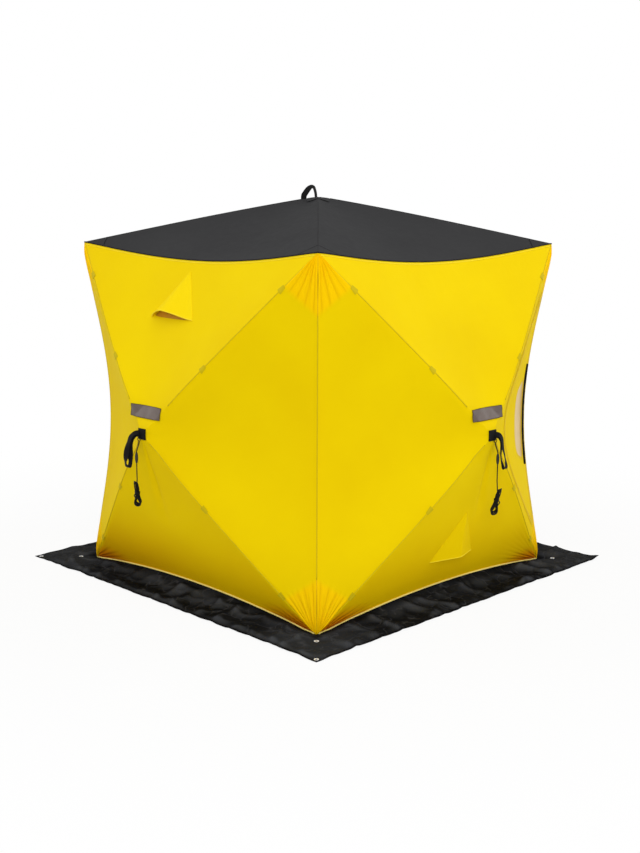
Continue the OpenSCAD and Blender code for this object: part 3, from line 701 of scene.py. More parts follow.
def paintTucks(bm, w):
    warmth, tucks, creases = [bm.verts.layers.float.new(name) for name in ("warm", "tuck", "crease")]
    for vert in bm.verts:
        p = turned(vert.co, -w)
        below = (tent["hubH"] - p.z) * base / tent["hubH"] - abs(p.x)  # inside the lower panel
        if below <= 0:
            continue
        inside = smooth(below / toning["edge"])
        across, up = toning["driftScale"]
        drift = toning["drift"] * wobble(p.x * across, p.z * up, seeds["drift"] + w)
        fade = 1
        if w == 0:
            fade -= toning["warmFade"] * smooth((p.x - toning["fadeFrom"]) / toning["fadeWide"])
        vert[warmth] = toning["warmMost"][w] * fade * inside * smooth(
            (toning["warmFrom"] - p.z) / (toning["warmFrom"] - toning["warmFull"]) + drift)
        corner = wallCorners[0] if p.x < 0 else wallCorners[1]
        arm = p - corner
        above = max(0, p.z - tent["hemLift"] * bow(0.5 + p.x / base / 2))
        turn = math.atan2(above, abs(arm.x) + toning["blunt"])
        turn += toning["raySway"] * wobble(arm.x * toning["swayScale"], 1.0, seeds["sway"] + w)
        far = math.hypot(arm.x / toning["tuckLong"], above / toning["tuckHigh"])
        near = smooth(toning["tuckFrom"] - far) * smooth(below / toning["tuckEdge"])
        vert[tucks] = toning["tuckMost"] * near
        ray = max(math.exp(-((turn - place) / toning["rayWide"]) ** 2) for place in toning["rays"])
        vert[creases] = near * ray


def buildWall(w, cuts):
    bm = bmesh.new()
    for k in range(4):
        opening = cuts.get(k)
        if opening:
            def place(u, v, k=k, opening=opening):
                cut = outlineAt(opening, u % 1, openings["doorGap"] if k == 1 else 0)
                return wallPoint(w, k, *between(borderAt(u % 1), cut, v ** panelGrid["dense"]))
            addGrid(bm, 4 * panelGrid["ring"], panelGrid["out"], place)
        else:
            def place(u, v, k=k):
                return wallPoint(w, k, endwise(u), max(math.cos(v * math.pi / 2), openings["tip"]))
            addGrid(bm, panelGrid["along"], panelGrid["out"], place)
    for face in bm.faces:
        face.normal_update()
    merge(bm, panelGrid["weld"])
    turnMesh(bm, w)
    paintTucks(bm, w)
    name = wallNames[w].replace("_wall", "_cloth")
    obj = finishPiece(name, bm, yellowCloth, [wallNames[w]], wallCloth["thick"])


for w, cuts in enumerate([{2: openings["upper"]}, {0: openings["lower"], 1: openings["door"]}, {}, {}]):
    buildWall(w, cuts)
print("walls stretched")

# roof: four panels from the roof hub down to the eaves, with a slight upward bow along the rods
roof = dict(fall=0.3732, ridgeFall=0.2763, cap=1.7112, soft=0.004, bow=0.007, bowPeak=0.8, hollow=0.9,
            tip=0.01, ripple=0.0025, rippleScale=(3, 5), along=64, down=30, thick=0.0016, flat=(1.60, 1.60),
            area=2.31)


def roofPoint(w, s, t, lift=0.0):
    p = roofTip.lerp(wallEdge(2, 1 - s), t)
    p.z += roof["bow"] * math.sin(math.pi * t ** roof["bowPeak"]) * (1 - roof["hollow"] * bow(s)) + lift
    along, down = roof["rippleScale"]
    p.z += calmShare(s, t) * roof["ripple"] * wobble(p.x * along, p.y * down, seeds["roof"] + 7 * w)
    return p


# the height of the roof cloth over a place of the plan, blunted at the roof hub's cap
def roofHeight(x, y):
    far, near = max(abs(x), abs(y)), min(abs(x), abs(y))
    z = tent["apexH"] - roof["fall"] * far + (roof["fall"] - roof["ridgeFall"]) * near
    return roof["cap"] - roof["soft"] * math.log(1 + math.exp((roof["cap"] - z) / roof["soft"]))


def buildRoof():
    bm = bmesh.new()
    for w in range(4):
        def place(u, v, w=w):
            return turned(roofPoint(w, endwise(u), max(1 - v, roof["tip"])), w)
        addGrid(bm, roof["along"], roof["down"], place, planUv)
    merge(bm, panelGrid["weld"])
    obj = finishPiece("roof_cloth", bm, greyCloth, ["roof_panels"], roof["thick"])


buildRoof()
print("roof stretched")

# snow skirt: a cloth frill sewn to the hems, which drops to the ice and lies out in broad loose folds
skirt = dict(outerHalf=0.963, top=0.0022, thick=0.0012, hemGrow=1.0012, slopeShare=0.62, slopeVary=0.1,
             sag=2.1, along=220, across=44, weld=0.00001, wave=0.003, edgeWave=0.0022, hemHigh=0.0009,
             hemShare=0.95, hemSteep=60, calmFrom=0.012, calmReach=0.050, rimFolds=0.30, rimSteep=5,
             riseSteep=4, mitreSteep=6, slopeScale=6, waveScale=7, edgeScale=26, tipLift=0.014, tipReach=0.10,
             flat=(3.85, 0.92), area=1.57)
# each kind of fold: its height, how fast it repeats with x and y in both directions, and its sharpness
broadFold = dict(high=0.011, first=(3.6, 1.4), second=(-1, 4.4), seed=11.0, power=2.5)
smallFold = dict(high=0.0050, first=(9, -4), second=(3, 11), seed=5.0, power=2.0)
crossFold = dict(high=0.013, first=(7.5, 1.5), second=(0, 2.0), seed=20.0, power=4.0)
foldCrest = 1.6
# painted sheen: paler on folds turned to the light, in random patches and at corners; none by wall and rim,
# as painted shade
sheenPaint = dict(all=0.02, slope=2.2, slopeFrom=0.08, light=(0.55, -0.8), even=0.3, corner=0.30, patch=0.03,
               patchScale=4, cornerFrom=1.4, cornerReach=0.22, wallHalf=0.765, wallFade=0.05, rim=0.004,
               rimFade=0.012)
eyelets = [Vector((x * r, y * r, 0)) for r in (0.805, 0.941) for x in (-1, 1) for y in (-1, 1)]


# rounded crests from smooth noise
def foldRise(p, fold, turn=0):
    x, y = [p.x * along + p.y * aside for along, aside in (fold["first"], fold["second"])]
    crest = 1 - min(1, abs(wobble(x, y, fold["seed"] + turn)) * foldCrest)
    return fold["high"] * crest ** fold["power"]


def eyeletGap(spot):
    return min((spot - e).length for e in eyelets)


def skirtPoint(w, u, v):
    a = 2 * u - 1
    hem = wallEdge(0, min(max(u, 0.0), 1.0))
    hem = Vector((hem.x * skirt["hemGrow"], hem.y * skirt["hemGrow"], max(hem.z, skirt["top"])))
    mitre = smooth(skirt["mitreSteep"] * (1 - abs(a)))
    outer = Vector((a * skirt["outerHalf"], -skirt["outerHalf"], skirt["top"]))
    p = hem.lerp(outer, v)
    vary = wobble(hem.x * skirt["slopeScale"], 1.0, seeds["slope"] + w)
    slope = skirt["slopeShare"] + skirt["slopeVary"] * mitre * vary
    p.z = skirt["top"] + (hem.z - skirt["top"]) * max(0, 1 - v / slope) ** skirt["sag"]
    uneven = skirt["wave"] * wobble(p.x * skirt["waveScale"], 2.0, seeds["wave"] + w)
    uneven += skirt["edgeWave"] * wobble(p.x * skirt["edgeScale"], 3.0, seeds["wave"] + w)
    p.y -= v * v * mitre * uneven
    spot = turned(p, w)
    flat = Vector((spot.x, spot.y, 0))
    # broad and small folds all over, and some straight across the frill, which fade at the mitres
    folds = foldRise(spot, broadFold) + foldRise(spot, smallFold) + mitre * foldRise(p, crossFold, w)
    calm = smooth((eyeletGap(flat) - skirt["calmFrom"]) / skirt["calmReach"])
    calm *= skirt["rimFolds"] + (1 - skirt["rimFolds"]) * smooth(skirt["rimSteep"] * (1 - v))
    p.z += folds * smooth(skirt["riseSteep"] * v) * calm
    p.z += skirt["hemHigh"] * smooth((v - skirt["hemShare"]) * skirt["hemSteep"])
    tip = (flat - Vector((skirt["outerHalf"], skirt["outerHalf"], 0))).length
    p.z += skirt["tipLift"] * smooth(1 - tip / skirt["tipReach"]) ** 2
    return turned(p, w)


# painted sheen where a fold turns towards the light, more by the pegged corners, fading to painted shade by
# the wall and at the rim
def paintSheen(bm):
    bm.normal_update()
    layer = bm.verts.layers.float.new("paintedSheen")
    for vert in bm.verts:
        slope = vert.normal.x * sheenPaint["light"][0] + vert.normal.y * sheenPaint["light"][1]
        corner = smooth(sheenPaint["cornerFrom"] - eyeletGap(vert.co) / sheenPaint["cornerReach"])
        scale = sheenPaint["patchScale"]
        patchy = 0.5 + 0.5 * wobble(vert.co.x * scale, vert.co.y * scale, seeds["patch"])
        far = max(abs(vert.co.x), abs(vert.co.y))
        shade = sheenPaint["all"] + sheenPaint["corner"] * corner + sheenPaint["patch"] * patchy
        shade += sheenPaint["slope"] * max(slope - sheenPaint["slopeFrom"], 0) * (sheenPaint["even"] + patchy)
        shade *= smooth((far - sheenPaint["wallHalf"]) / sheenPaint["wallFade"])
        shade *= smooth((skirt["outerHalf"] - sheenPaint["rim"] - far) / sheenPaint["rimFade"])
        vert[layer] = min(1, max(0, shade))


def buildSkirt():
    bm = bmesh.new()
    for w in range(4):
        def place(u, v, w=w):
            return skirtPoint(w, u, 1 - v)
        addGrid(bm, skirt["along"], skirt["across"], place, lambda u, v, co: (co.x, co.y + co.z))
    merge(bm, skirt["weld"])
    paintSheen(bm)
    obj = finishPiece("skirt_cloth", bm, skirtCloth, ["snow_skirt", "skirt_rise"],
                      skirt["thick"])


buildSkirt()
print("skirt laid out")

# seams: piping on the ridges and uprights, painted olive as the seams' shade, a rolled hem painted pale as
# its highlight, black and bright tape at the eaves
seams = dict(radius=0.0024, eaveRadius=0.0028, roofRadius=0.0018, hemRadius=0.0034, steps=60, fanSteps=20,
             ridge=[(0.05, 0.99), (0.05, 0.99), (0.17, 0.99), (0.17, 0.99)], upright=(0.145, 0.840),
             fans=[(0.004, 0.145), (0.840, 0.996)], roof=(0.05, 1.0), eave=(0.0, 1.0), hem=(0.003, 0.997),
             hemAt=0.9965, hemLift=0.0028, eaveShift=(0, -0.001, 0.001), tapeWide=0.006, tapeAt=0.9885,
             tapeEdges=(0.985, 1.0), tapeLift=0.0012, tapeCrown=0.0012, tapeThick=0.0006)


def buildSeams():
    piping, amber, black, grey, hems, eaves = [bmesh.new() for i in range(6)]

    def sew(bm, w, radius, span, spot, steps=seams["steps"]):
        path = [turned(spot(span[0] + (span[1] - span[0]) * i / steps), w) for i in range(steps + 1)]
        addTube(bm, path, radius, tubeSides["full"])

    for w in range(4):
        for k in range(4):
            sew(piping, w, seams["radius"], seams["ridge"][k], lambda t: wallPoint(w, k, 0, t))
        sew(piping, w, seams["radius"], seams["upright"], lambda s: wallEdge(1, s))
        for span in seams["fans"]:
            sew(amber, w, seams["radius"], span, lambda s: wallEdge(1, s), seams["fanSteps"])
        sew(grey, w, seams["roofRadius"], seams["roof"], lambda t: roofPoint(w, 0, t))
        sew(black, w, seams["eaveRadius"], seams["eave"],
            lambda s: wallEdge(2, s) + Vector(seams["eaveShift"]))
        sew(hems, w, seams["hemRadius"], seams["hem"],
            lambda s: wallPoint(w, 0, s, seams["hemAt"], seams["hemLift"]))
        path, across = [], []
        low, high = seams["hem"]
        inner, outer = seams["tapeEdges"]
        for i in range(seams["steps"] + 1):
            s = low + (high - low) * i / seams["steps"]
            path.append(wallSpot(w, 2, s, seams["tapeAt"], seams["tapeLift"]))
            across.append(wallSpot(w, 2, s, inner) - wallSpot(w, 2, s, outer))
        addBand(eaves, path, across, seams["tapeWide"], seams["tapeCrown"])
    for bm in (piping, amber, black, grey, hems):
        merge(bm)
    finishPiece("wall_piping", piping, seamShadePiping)
    finishPiece("fan_piping", amber, fanBinding)
    finishPiece("eave_piping", black, blackTape)
    finishPiece("roof_piping", grey, greyTape)
    finishPiece("hem_highlight", hems, hemHighlight)
    finishPiece("eave_tape", eaves, eaveTape, (), seams["tapeThick"], 0.0)


buildSeams()
print("seams sewn")

# corner fans: doubled cloth in pleats that spread from each corner over both side panels beside it
fans = dict(ridgeShare=0.815, edgeLow=0.155, edgeHigh=0.172, across=60, out=26, lift=0.0010, pleats=4.5,
            crowd=0.9, high=0.0030, swell=0.7, flatten=9, keepRim=6, bulge=0.05, fadeFrom=0.84, deep=0.55,
            sharp=2.5, start=0.012, gap=0.0004, thick=0.0006)


def buildFans():
    bm = bmesh.new()
    warmth, tucks = bm.verts.layers.float.new("warm"), bm.verts.layers.float.new("tuck")
    for w in range(4):
        for k in (1, 3):
            for end in (0, 1):
                low = (end == 0) == (k == 1)
                reach = fans["edgeLow"] if low else fans["edgeHigh"]
                tones = []

                def place(u, v, k=k, end=end, reach=reach, tones=tones):
                    f = fans["start"] + (1 - fans["start"]) * v
                    full = f * (1 + fans["bulge"] * bow(u))
                    s, t = full * reach * (u + fans["gap"]), 1 - full * (1 - fans["ridgeShare"]) * (1 - u)
                    wave = abs(math.sin(math.pi * fans["pleats"] * u ** fans["crowd"]))
                    rise = fans["high"] * wave * math.sin(math.pi * f ** fans["swell"])
                    rise *= min(1, fans["flatten"] * (1 - u)) * min(1, fans["flatten"] * u)
                    fade = smooth((1 - f) / (1 - fans["fadeFrom"]))
                    # painted shade deepens the pleats' valleys; both tones fade out towards the fan's rim
                    tones.append((fade, fans["deep"] * (1 - wave) ** fans["sharp"] * fade))
                    lift = fans["lift"] * min(1, fans["keepRim"] * (1 - f)) + rise
                    return wallPoint(w, k, s if end == 0 else 1 - s, min(t, 1), lift)

                made = addGrid(bm, fans["across"], fans["out"], place)
                for vert, (warmer, deeper) in zip(made, tones):
                    vert[warmth], vert[tucks] = warmer, deeper
                    vert.co = turned(vert.co, w)
    finishPiece("corner_fans", bm, gussetCloth, (), fans["thick"], 0.0)


buildFans()
print("corner fans pleated")

# painted shade: small olive patches over the ridges, where the ties that hold the cloth to the rods inside
# show through as shadows
tieShades = dict(shares=[0.385, 0.815], along=0.032, across=0.022, inner=1.15, taper=0.4, lift=0.0020,
            thick=0.0008, steps=(6, 8))


def buildTieShades():
    bm = bmesh.new()
    for w in range(4):
        for k in range(4):
            for share in tieShades["shares"]:
                spot = hubTip.lerp(wallCorners[k], share)
                line = Vector((wallCorners[k].x, wallCorners[k].z - tent["hubH"])).normalized()

                def place(u, v, spot=spot, line=line):
                    a = (u - 0.5) * tieShades["along"]
                    b = (v - 0.5) * tieShades["across"] * (tieShades["inner"] - tieShades["taper"] * u)
                    x, z = spot.x + line.x * a - line.y * b, spot.z + line.y * a + line.x * b
                    return onWall(w, x, z, tieShades["lift"])

                for vert in addGrid(bm, *tieShades["steps"], place):
                    vert.co = turned(vert.co, w)
    finishPiece("tie_shade_patches", bm, tieShadePatch, (), tieShades["thick"], 0.0)


buildTieShades()

# reflective strips, sewn round over the two upper ridges of each wall
strips = dict(half=0.099, low=0.809, high=0.048, bridge=0.55, lift=0.0026, thick=0.0008, edge=0.0014,
              aside=[-0.012, 0, 0, 0], along=44, up=10, rimAlong=40)


def buildStrips():
    bm, edge = bmesh.new(), bmesh.new()
    for w in range(4):
        def spot(u, v):
            x, z = (2 * u - 1) * strips["half"] + strips["aside"][w], strips["low"] + strips["high"] * v
            p = onWall(w, x, z, strips["lift"])
            p.y += min(0, onWall(w, 0, z, strips["lift"]).y - p.y) * strips["bridge"]
            return turned(p, w)
        addGrid(bm, strips["along"], strips["up"], spot)
        corners, rim = [(0, 0), (1, 0), (1, 1), (0, 1), (0, 0)], [spot(0, 0)]
        for start, stop in zip(corners, corners[1:]):
            steps = strips["rimAlong"] if start[1] == stop[1] else strips["up"]
            rim += [spot(*between(start, stop, i / steps)) for i in range(1, steps + 1)]
        addTube(edge, rim, strips["edge"], tubeSides["thin"])
    merge(edge)
    finishPiece("strips", bm, tapeFilm, ["reflective_strips"], strips["thick"], 0.0)
    finishPiece("strip_edges", edge, stripEdge)


buildStrips()
print("tabs and strips sewn")

# hub patches of heavy webbing cloth, draped over the hubs, with a stitched border
patches = dict(half=0.023, face=1.0290, bend=0.0026, thick=0.0046, steps=20, roofHalf=0.050, roofLift=0.0030,
               roofThick=0.0016, roofSteps=24, stitch=0.0045, stitchAt=0.84, stitchLift=0.0004,
               stitchSteps=40, stitchEnds=(0.15, 0.85), thread=0.0005, weld=0.000001)


# shares run from -1 to 1 over the patch, which bends back a little at its edges
def patchSpot(w, a, b, lift):
    out = patches["face"] - patches["bend"] * (a * a + b * b) / 2 + lift
    return turned(Vector((a * patches["half"], -out, tent["hubH"] + b * patches["half"])), w)


def roofPatchSpot(a, b, lift):
    along, aside = a * patches["roofHalf"] / math.sqrt(2), b * patches["roofHalf"] / math.sqrt(2)
    x, y = along + aside, along - aside
    return Vector((x, y, roofHeight(x, y) + lift))


# the places where a line of points has run another step: the place before it and the leg that ends there
def paces(line, step):
    walked, start, found = 0.0, line[0], []
    for a, b in zip(line, line[1:]):
        walked += (b - a).length
        if walked >= step:
            found.append((start, a, b))
            walked, start = 0.0, b
    return found


def addStitches(bm, line):
    for start, before, stop in paces(line, patches["stitch"]):
        ends = [start.lerp(stop, share) for share in patches["stitchEnds"]]
        addTube(bm, ends, patches["thread"], tubeSides["thread"])


def buildPatches():
    bm, roofPatch, thread = bmesh.new(), bmesh.new(), bmesh.new()
    for w in range(4):
        addGrid(bm, patches["steps"], patches["steps"], lambda u, v: patchSpot(w, 2 * u - 1, 2 * v - 1, 0.0))
        far, count = patches["stitchAt"], patches["stitchSteps"]
        ring = [(-far, -far), (far, -far), (far, far), (-far, far)]
        line = []
        for start, stop in zip(ring, ring[1:] + ring[:1]):
            line += [patchSpot(w, *between(start, stop, j / count), patches["stitchLift"])
                     for j in range(count)]
        addStitches(thread, line)
    addGrid(roofPatch, patches["roofSteps"], patches["roofSteps"],
            lambda u, v: roofPatchSpot(2 * u - 1, 2 * v - 1, patches["roofLift"]), planUv)
    merge(thread, patches["weld"])
    finishPiece("hub_patches", bm, patchCloth, ["wall_hub_patches"], patches["thick"])
    finishPiece("roof_patch", roofPatch, greyCloth, ["roof_hub_patch"], patches["roofThick"],
                0.0)
    finishPiece("patch_stitches", thread, blackThread)


buildPatches()

# pull loops: webbing sewn into each patch, which stands out stiffly, then hangs as a pear-shaped loop.
# Points are millimetres along the wall, out from the hub patch and up from the hub, with the band's lean
straps = dict(width=0.025, thick=0.0019, crown=0.0008, steps=6, settle=20)
frontStrap = [
    (-12, 0.5, 2, 0.2), (-18, 4, 2, 0.2), (-24, 13, 1, 0.2), (-30, 23, -4, 0.1), (-34, 31, -16, 0.0),
    (-37, 37, -34, -0.1), (-40, 42, -54, 0.2), (-42.5, 45.5, -76, 0.5), (-44.5, 48, -98, 0.2),
    (-45.5, 50, -116, -0.35), (-44.5, 47, -130, -0.2), (-42.5, 42, -139, 0.0), (-40, 36, -139, 0.0),
    (-38.5, 32, -130, 0.0), (-38, 30, -117, 0.0), (-38, 30, -100, 0.3), (-37.5, 30.5, -80, 0.5),
    (-36.5, 30.5, -60, 0.3), (-34.5, 28.5, -42, 0.0), (-31.5, 24.5, -24, 0.0), (-27, 17.5, -11, 0.1),
    (-22.5, 10, -5.5, 0.2), (-17.5, 3, -4, 0.2), (-12, -0.6, -4, 0.2)]
rightStrap = [
    (-12, 0.5, 2, 0.0), (-18, 5, 1, 0.0), (-24, 13, -1, -0.1), (-29, 20, -9, -0.2), (-31, 24, -24, -0.3),
    (-32.5, 26, -42, -0.35), (-34, 28.5, -62, -0.4), (-36.5, 33, -80, -0.55), (-38, 36, -97, -0.6),
    (-39.5, 39, -114, -0.4), (-40.5, 41, -128, -0.25), (-40, 39, -138, -0.1), (-38, 35, -142, -0.1),
    (-35.5, 30, -138, -0.2), (-33, 27, -124, -0.3), (-30.5, 23, -108, -0.5), (-29, 21, -92, -0.55),
    (-28.5, 20.5, -74, -0.45), (-29, 21, -56, -0.35), (-29, 21.5, -38, -0.3), (-27.5, 19, -22, -0.3),
    (-24.5, 13.5, -11, -0.2), (-20, 6.5, -6, 0.0), (-16, 1.5, -5, 0.0), (-12, -0.6, -5, 0.0)]


def buildStraps():
    bm = bmesh.new()
    for w in range(4):
        mirror, line = (1, frontStrap) if w % 2 == 0 else (-1, rightStrap)
        points = [Vector((mirror * x / 1000, -patches["face"] - y / 1000, tent["hubH"] + z / 1000))
                  for x, y, z, lean in line]
        path = roundedPath(points, straps["steps"])
        leans = roundedPath([(lean, 0, 0) for x, y, z, lean in line], straps["steps"])
        across = []
        for i in range(len(path)):
            hung = smooth(min(i, len(path) - 1 - i) / straps["settle"])
            across.append(turned(Vector((0, 0, 1)).lerp(Vector((-mirror, -leans[i].x, 0)), hung), w))
        addBand(bm, [turned(p, w) for p in path], across, straps["width"], straps["crown"])
    finishPiece("pull_straps", bm, webbing, ["wall_pull_straps"], straps["thick"], 0.0)


buildStraps()

# roof loop: one webbing leg faces the near corner, and the band twists round to stand edge-on at the other.
# Points are millimetres along the diagonal and up from the roof patch, with the band's turn in degrees
roofLoop = dict(width=0.026, thick=0.002, crown=0.0006, footLift=0.001, steps=6, line=[
    (-66, -3, 6), (-65, 6, 8), (-59, 17, 12), (-50, 30, 20), (-42, 39, 32), (-35, 45, 46), (-27, 47, 56),
    (-20, 43, 62), (-16, 34, 65), (-13, 23, 66), (-11, 11, 66), (-10, -1, 66)])


def buildRoofLoop():
    along, aside = Vector((1, 1, 0)) / math.sqrt(2), Vector((1, -1, 0)) / math.sqrt(2)
    seat = roofHeight(0, 0) + patches["roofLift"]
    points = [along * d / 1000 + Vector((0, 0, seat + z / 1000)) for d, z, turn in roofLoop["line"]]
    points[0].z = roofHeight(points[0].x, points[0].y) + roofLoop["footLift"]
    path = roundedPath(points, roofLoop["steps"])
    bends = roundedPath([(turn, 0, 0) for d, z, turn in roofLoop["line"]], roofLoop["steps"])
    across = []
    for i in range(len(path)):
        turn = math.radians(bends[i].x)
        across.append(heading(path, i).cross(aside).normalized() * math.cos(turn) + aside * math.sin(turn))
    bm = bmesh.new()
    addBand(bm, path, across, roofLoop["width"], roofLoop["crown"])
    finishPiece("roof_loop", bm, webbing, ["roof_pull_loop"], roofLoop["thick"], 0.0)


buildRoofLoop()
print("patches, pull loops and roof loop sewn")

# hooded vents: a stiffened flap sewn down along two sides and arched open at its lip
hoods = dict(along=44, down=30, lift=0.0014, settle=8, tipShare=0.985, round=1.6, pointed=1.1, fade=1.1,
             fold=0.0014, foldScale=(7, 2), thick=0.0020, lip=0.0026, lipSteps=48, netLift=-0.006,
             netGrow=0.006, netThick=0.0008, netSteps=(96, 8),
             upper=dict(k=2, tip=0.935, lip=0.655, wide=0.262, rise=0.034, arch=0.034, peak=0.37, point=0.35,
                        aside=-0.026, lipAside=-0.041, flat=(0.30, 0.24), area=0.034, netFlat=(0.27, 0.065),
                        netArea=0.0145),
             lower=dict(k=0, tip=0.505, lip=0.81, wide=0.284, rise=0.054, arch=0.008, peak=0.5, point=0.70,
                        aside=0.0, lipAside=0.0, flat=(0.30, 0.24), area=0.033, netFlat=(0.19, 0.11),
                        netArea=0.0155))


# a sheet that closes an opening from its middle and runs a little past its outline
def fillOpening(w, opening, grow, lift, steps, uvOf=None):
    def place(u, v):
        shares = between((opening["s"], opening["t"]), outlineAt(opening, u % 1, grow), v)
        return wallSpot(w, opening["k"], *shares, lift)

    bm = bmesh.new()
    addGrid(bm, *steps, place, uvOf)
    merge(bm)
    return bm


# the net closes the vent's opening from inside
def buildNet(name, w):
    bm = fillOpening(w, openings[name], hoods["netGrow"], hoods["netLift"], hoods["netSteps"])
    obj = finishPiece(name + "_net", bm, meshNet, [name + "_vent_mesh"], hoods["netThick"], 0.0)


def buildHood(name, w):
    hood = hoods[name]
    k = hood["k"]
    half = hood["wide"] / 2 / (2 * base * hood["lip"]) * (1 if k == 2 else -1)
    tip = hubTip.lerp(wallEdge(k, 0.5), hood["tip"]) + Vector((hood["aside"], 0, 0))
    left, right = [hubTip.lerp(wallEdge(k, 0.5 + side), hood["lip"]) + Vector((hood["lipAside"], 0, 0))
                   for side in (half, -half)]

    def place(u, v):
        v = hoods["tipShare"] * v
        flat = left.lerp(right, u).lerp(tip, v)
        p = onWall(w, flat.x, flat.z, hoods["lift"] * min(1, hoods["settle"] * bow(u)))
        f = u ** (math.log(0.5) / math.log(hood["peak"]))
        arch = (1 - hood["point"]) * math.sin(math.pi * f) ** hoods["round"]
        arch += hood["point"] * (1 - abs(2 * f - 1)) ** hoods["pointed"]
        arch *= (1 - v) ** hoods["fade"]
        along, down = hoods["foldScale"]
        fold = hoods["fold"] * wobble(u * along, v * down, seeds["hood"] + w) * bow(u)
        return turned(p + Vector((0, -hood["rise"] * arch - fold, hood["arch"] * arch)), w)

    bm, lip = bmesh.new(), bmesh.new()
    addGrid(bm, hoods["along"], hoods["down"], place)
    cloth = hoodCloth if k == 2 else yellowCloth
    obj = finishPiece(name + "_hood", bm, cloth, [name + "_vent_hood"], hoods["thick"], 0.0)
    edge = [place(i / hoods["lipSteps"], 0) for i in range(hoods["lipSteps"] + 1)]
    addTube(lip, edge, hoods["lip"], tubeSides["full"])
    merge(lip)
    finishPiece(name + "_hood_lip", lip, eaveTape)


for build in (buildHood, buildNet):
    for w, name in enumerate(("upper", "lower")):
        build(name, w)
print("vent hoods arched")

# zipped door in the right wall's rear panel, with a film window and its rolled-up blind
door = dict(ring=192, across=26, flapLift=-0.0003, thick=0.0016, zipWide=0.026, zipLift=0.0016,
            zipCrown=0.0012, zipLong=2.2, tapeSteps=8, tapeThick=0.0010, tooth=(0.0026, 0.00494, 0.00182),
            toothLift=0.0034, toothStep=0.0048, toothRing=800, filmGrow=0.004, filmLift=-0.0004,
            filmThick=0.0006, filmSteps=(96, 14), frameWide=0.014, frameIn=0.4, frameLift=0.001,
            frameCrown=0.0008, frameLong=0.9, frameSteps=(160, 6), flat=(0.56, 0.80), area=0.30,
            filmFlat=(0.20, 0.34), filmArea=0.060)


def doorSpot(q, grow, opening, lift):
    return wallSpot(1, 1, *outlineAt(openings[opening], q % 1, grow), lift)


def buildDoor():
    flap, tape, teeth, rim = [bmesh.new() for i in range(4)]

    def flapAt(u, v):
        shares = between(outlineAt(openings["window"], u % 1), outlineAt(openings["door"], u % 1), v)
        return wallSpot(1, 1, *shares, door["flapLift"])

    def tapeAt(u, v):
        return doorSpot(u, (v - 0.5) * door["zipWide"], "door", door["zipLift"] + door["zipCrown"] * bow(v))

    def rimAt(u, v):
        lift = door["frameLift"] + door["frameCrown"] * bow(v)
        return doorSpot(u, (v - door["frameIn"]) * door["frameWide"], "window", lift)

    addGrid(flap, door["ring"], door["across"], flapAt, sideUv)
    addGrid(tape, door["ring"], door["tapeSteps"], tapeAt,
            lambda u, v, co: (u * door["zipLong"], v * door["zipWide"]))
    addGrid(rim, *door["frameSteps"], rimAt, lambda u, v, co: (u * door["frameLong"], v * door["frameWide"]))
    for bm in (flap, tape, rim):
        merge(bm)
    count = door["toothRing"]
    ring = [doorSpot(i / count, 0, "door", door["toothLift"]) for i in range(count + 1)]
    for start, before, spot in paces(ring, door["toothStep"]):
        turn = (spot - before).to_track_quat("X", "Z").to_matrix().to_4x4()
        size = Matrix.Diagonal((*door["tooth"], 1))
        bmesh.ops.create_cube(teeth, size=1, matrix=Matrix.Translation(spot) @ turn @ size)
    obj = finishPiece("door_cloth", flap, yellowCloth, ["door_flap"], door["thick"])
    finishPiece("zip_tape", tape, yellowBinding, ["door_zip"], door["tapeThick"], 0.0)
    finishPiece("zip_teeth", teeth, zipPlastic)
    film = fillOpening(1, openings["window"], door["filmGrow"], door["filmLift"], door["filmSteps"], sideUv)
    obj = finishPiece("window_film", film, windowFilm, ["door_window"], door["filmThick"])
    finishPiece("window_frame", rim, yellowBinding, (), door["tapeThick"], 0.0)


buildDoor()

# the blind is a strip of black cloth rolled up beside the window and held by ties, which pinch it
blind = dict(t=0.912, s=0.477, long=0.474, core=0.0018, radius=0.0058, turns=3.4, startTurn=2.0, along=120,
             around=96, lift=0.0066, thick=0.0007, ties=[0.05, 0.22, 0.40, 0.58, 0.77, 0.94],
             tieRadius=0.0012, tieApart=0.004, tieSteps=28, tieReach=0.022, tight=0.32, uneven=0.30,
             unevenScale=22, endLow=0.05, endHigh=0.03, endFrom=0.25, endShare=0.45, flat=(0.082, 0.474))


def blindSpot(u):
    half = blind["long"] / 2 / ((wallCorners[2] - wallCorners[1]).length * blind["t"])
    return wallSpot(1, 1, blind["s"] + (2 * u - 1) * half, blind["t"], blind["lift"])


# the roll's own directions: along it, out from the wall and aside
def blindFrame(u, step=0.01):
    along = (blindSpot(min(u + step, 1)) - blindSpot(max(u - step, 0))).normalized()
    out = Vector((1, 0, 0))
    out = (out - along * out.dot(along)).normalized()
    return along, out, along.cross(out)


def pinch(u):
    tight = sum(math.exp(-((u - tie) / blind["tieReach"]) ** 2) for tie in blind["ties"])
    ends = smooth(min(u / blind["endLow"], (1 - u) / blind["endHigh"]) + blind["endFrom"])
    full = 1 - blind["tight"] * min(tight, 1)
    full += blind["uneven"] * wobble(u * blind["unevenScale"], 1.0, seeds["blind"])
    return full * (1 - blind["endShare"] + blind["endShare"] * ends)


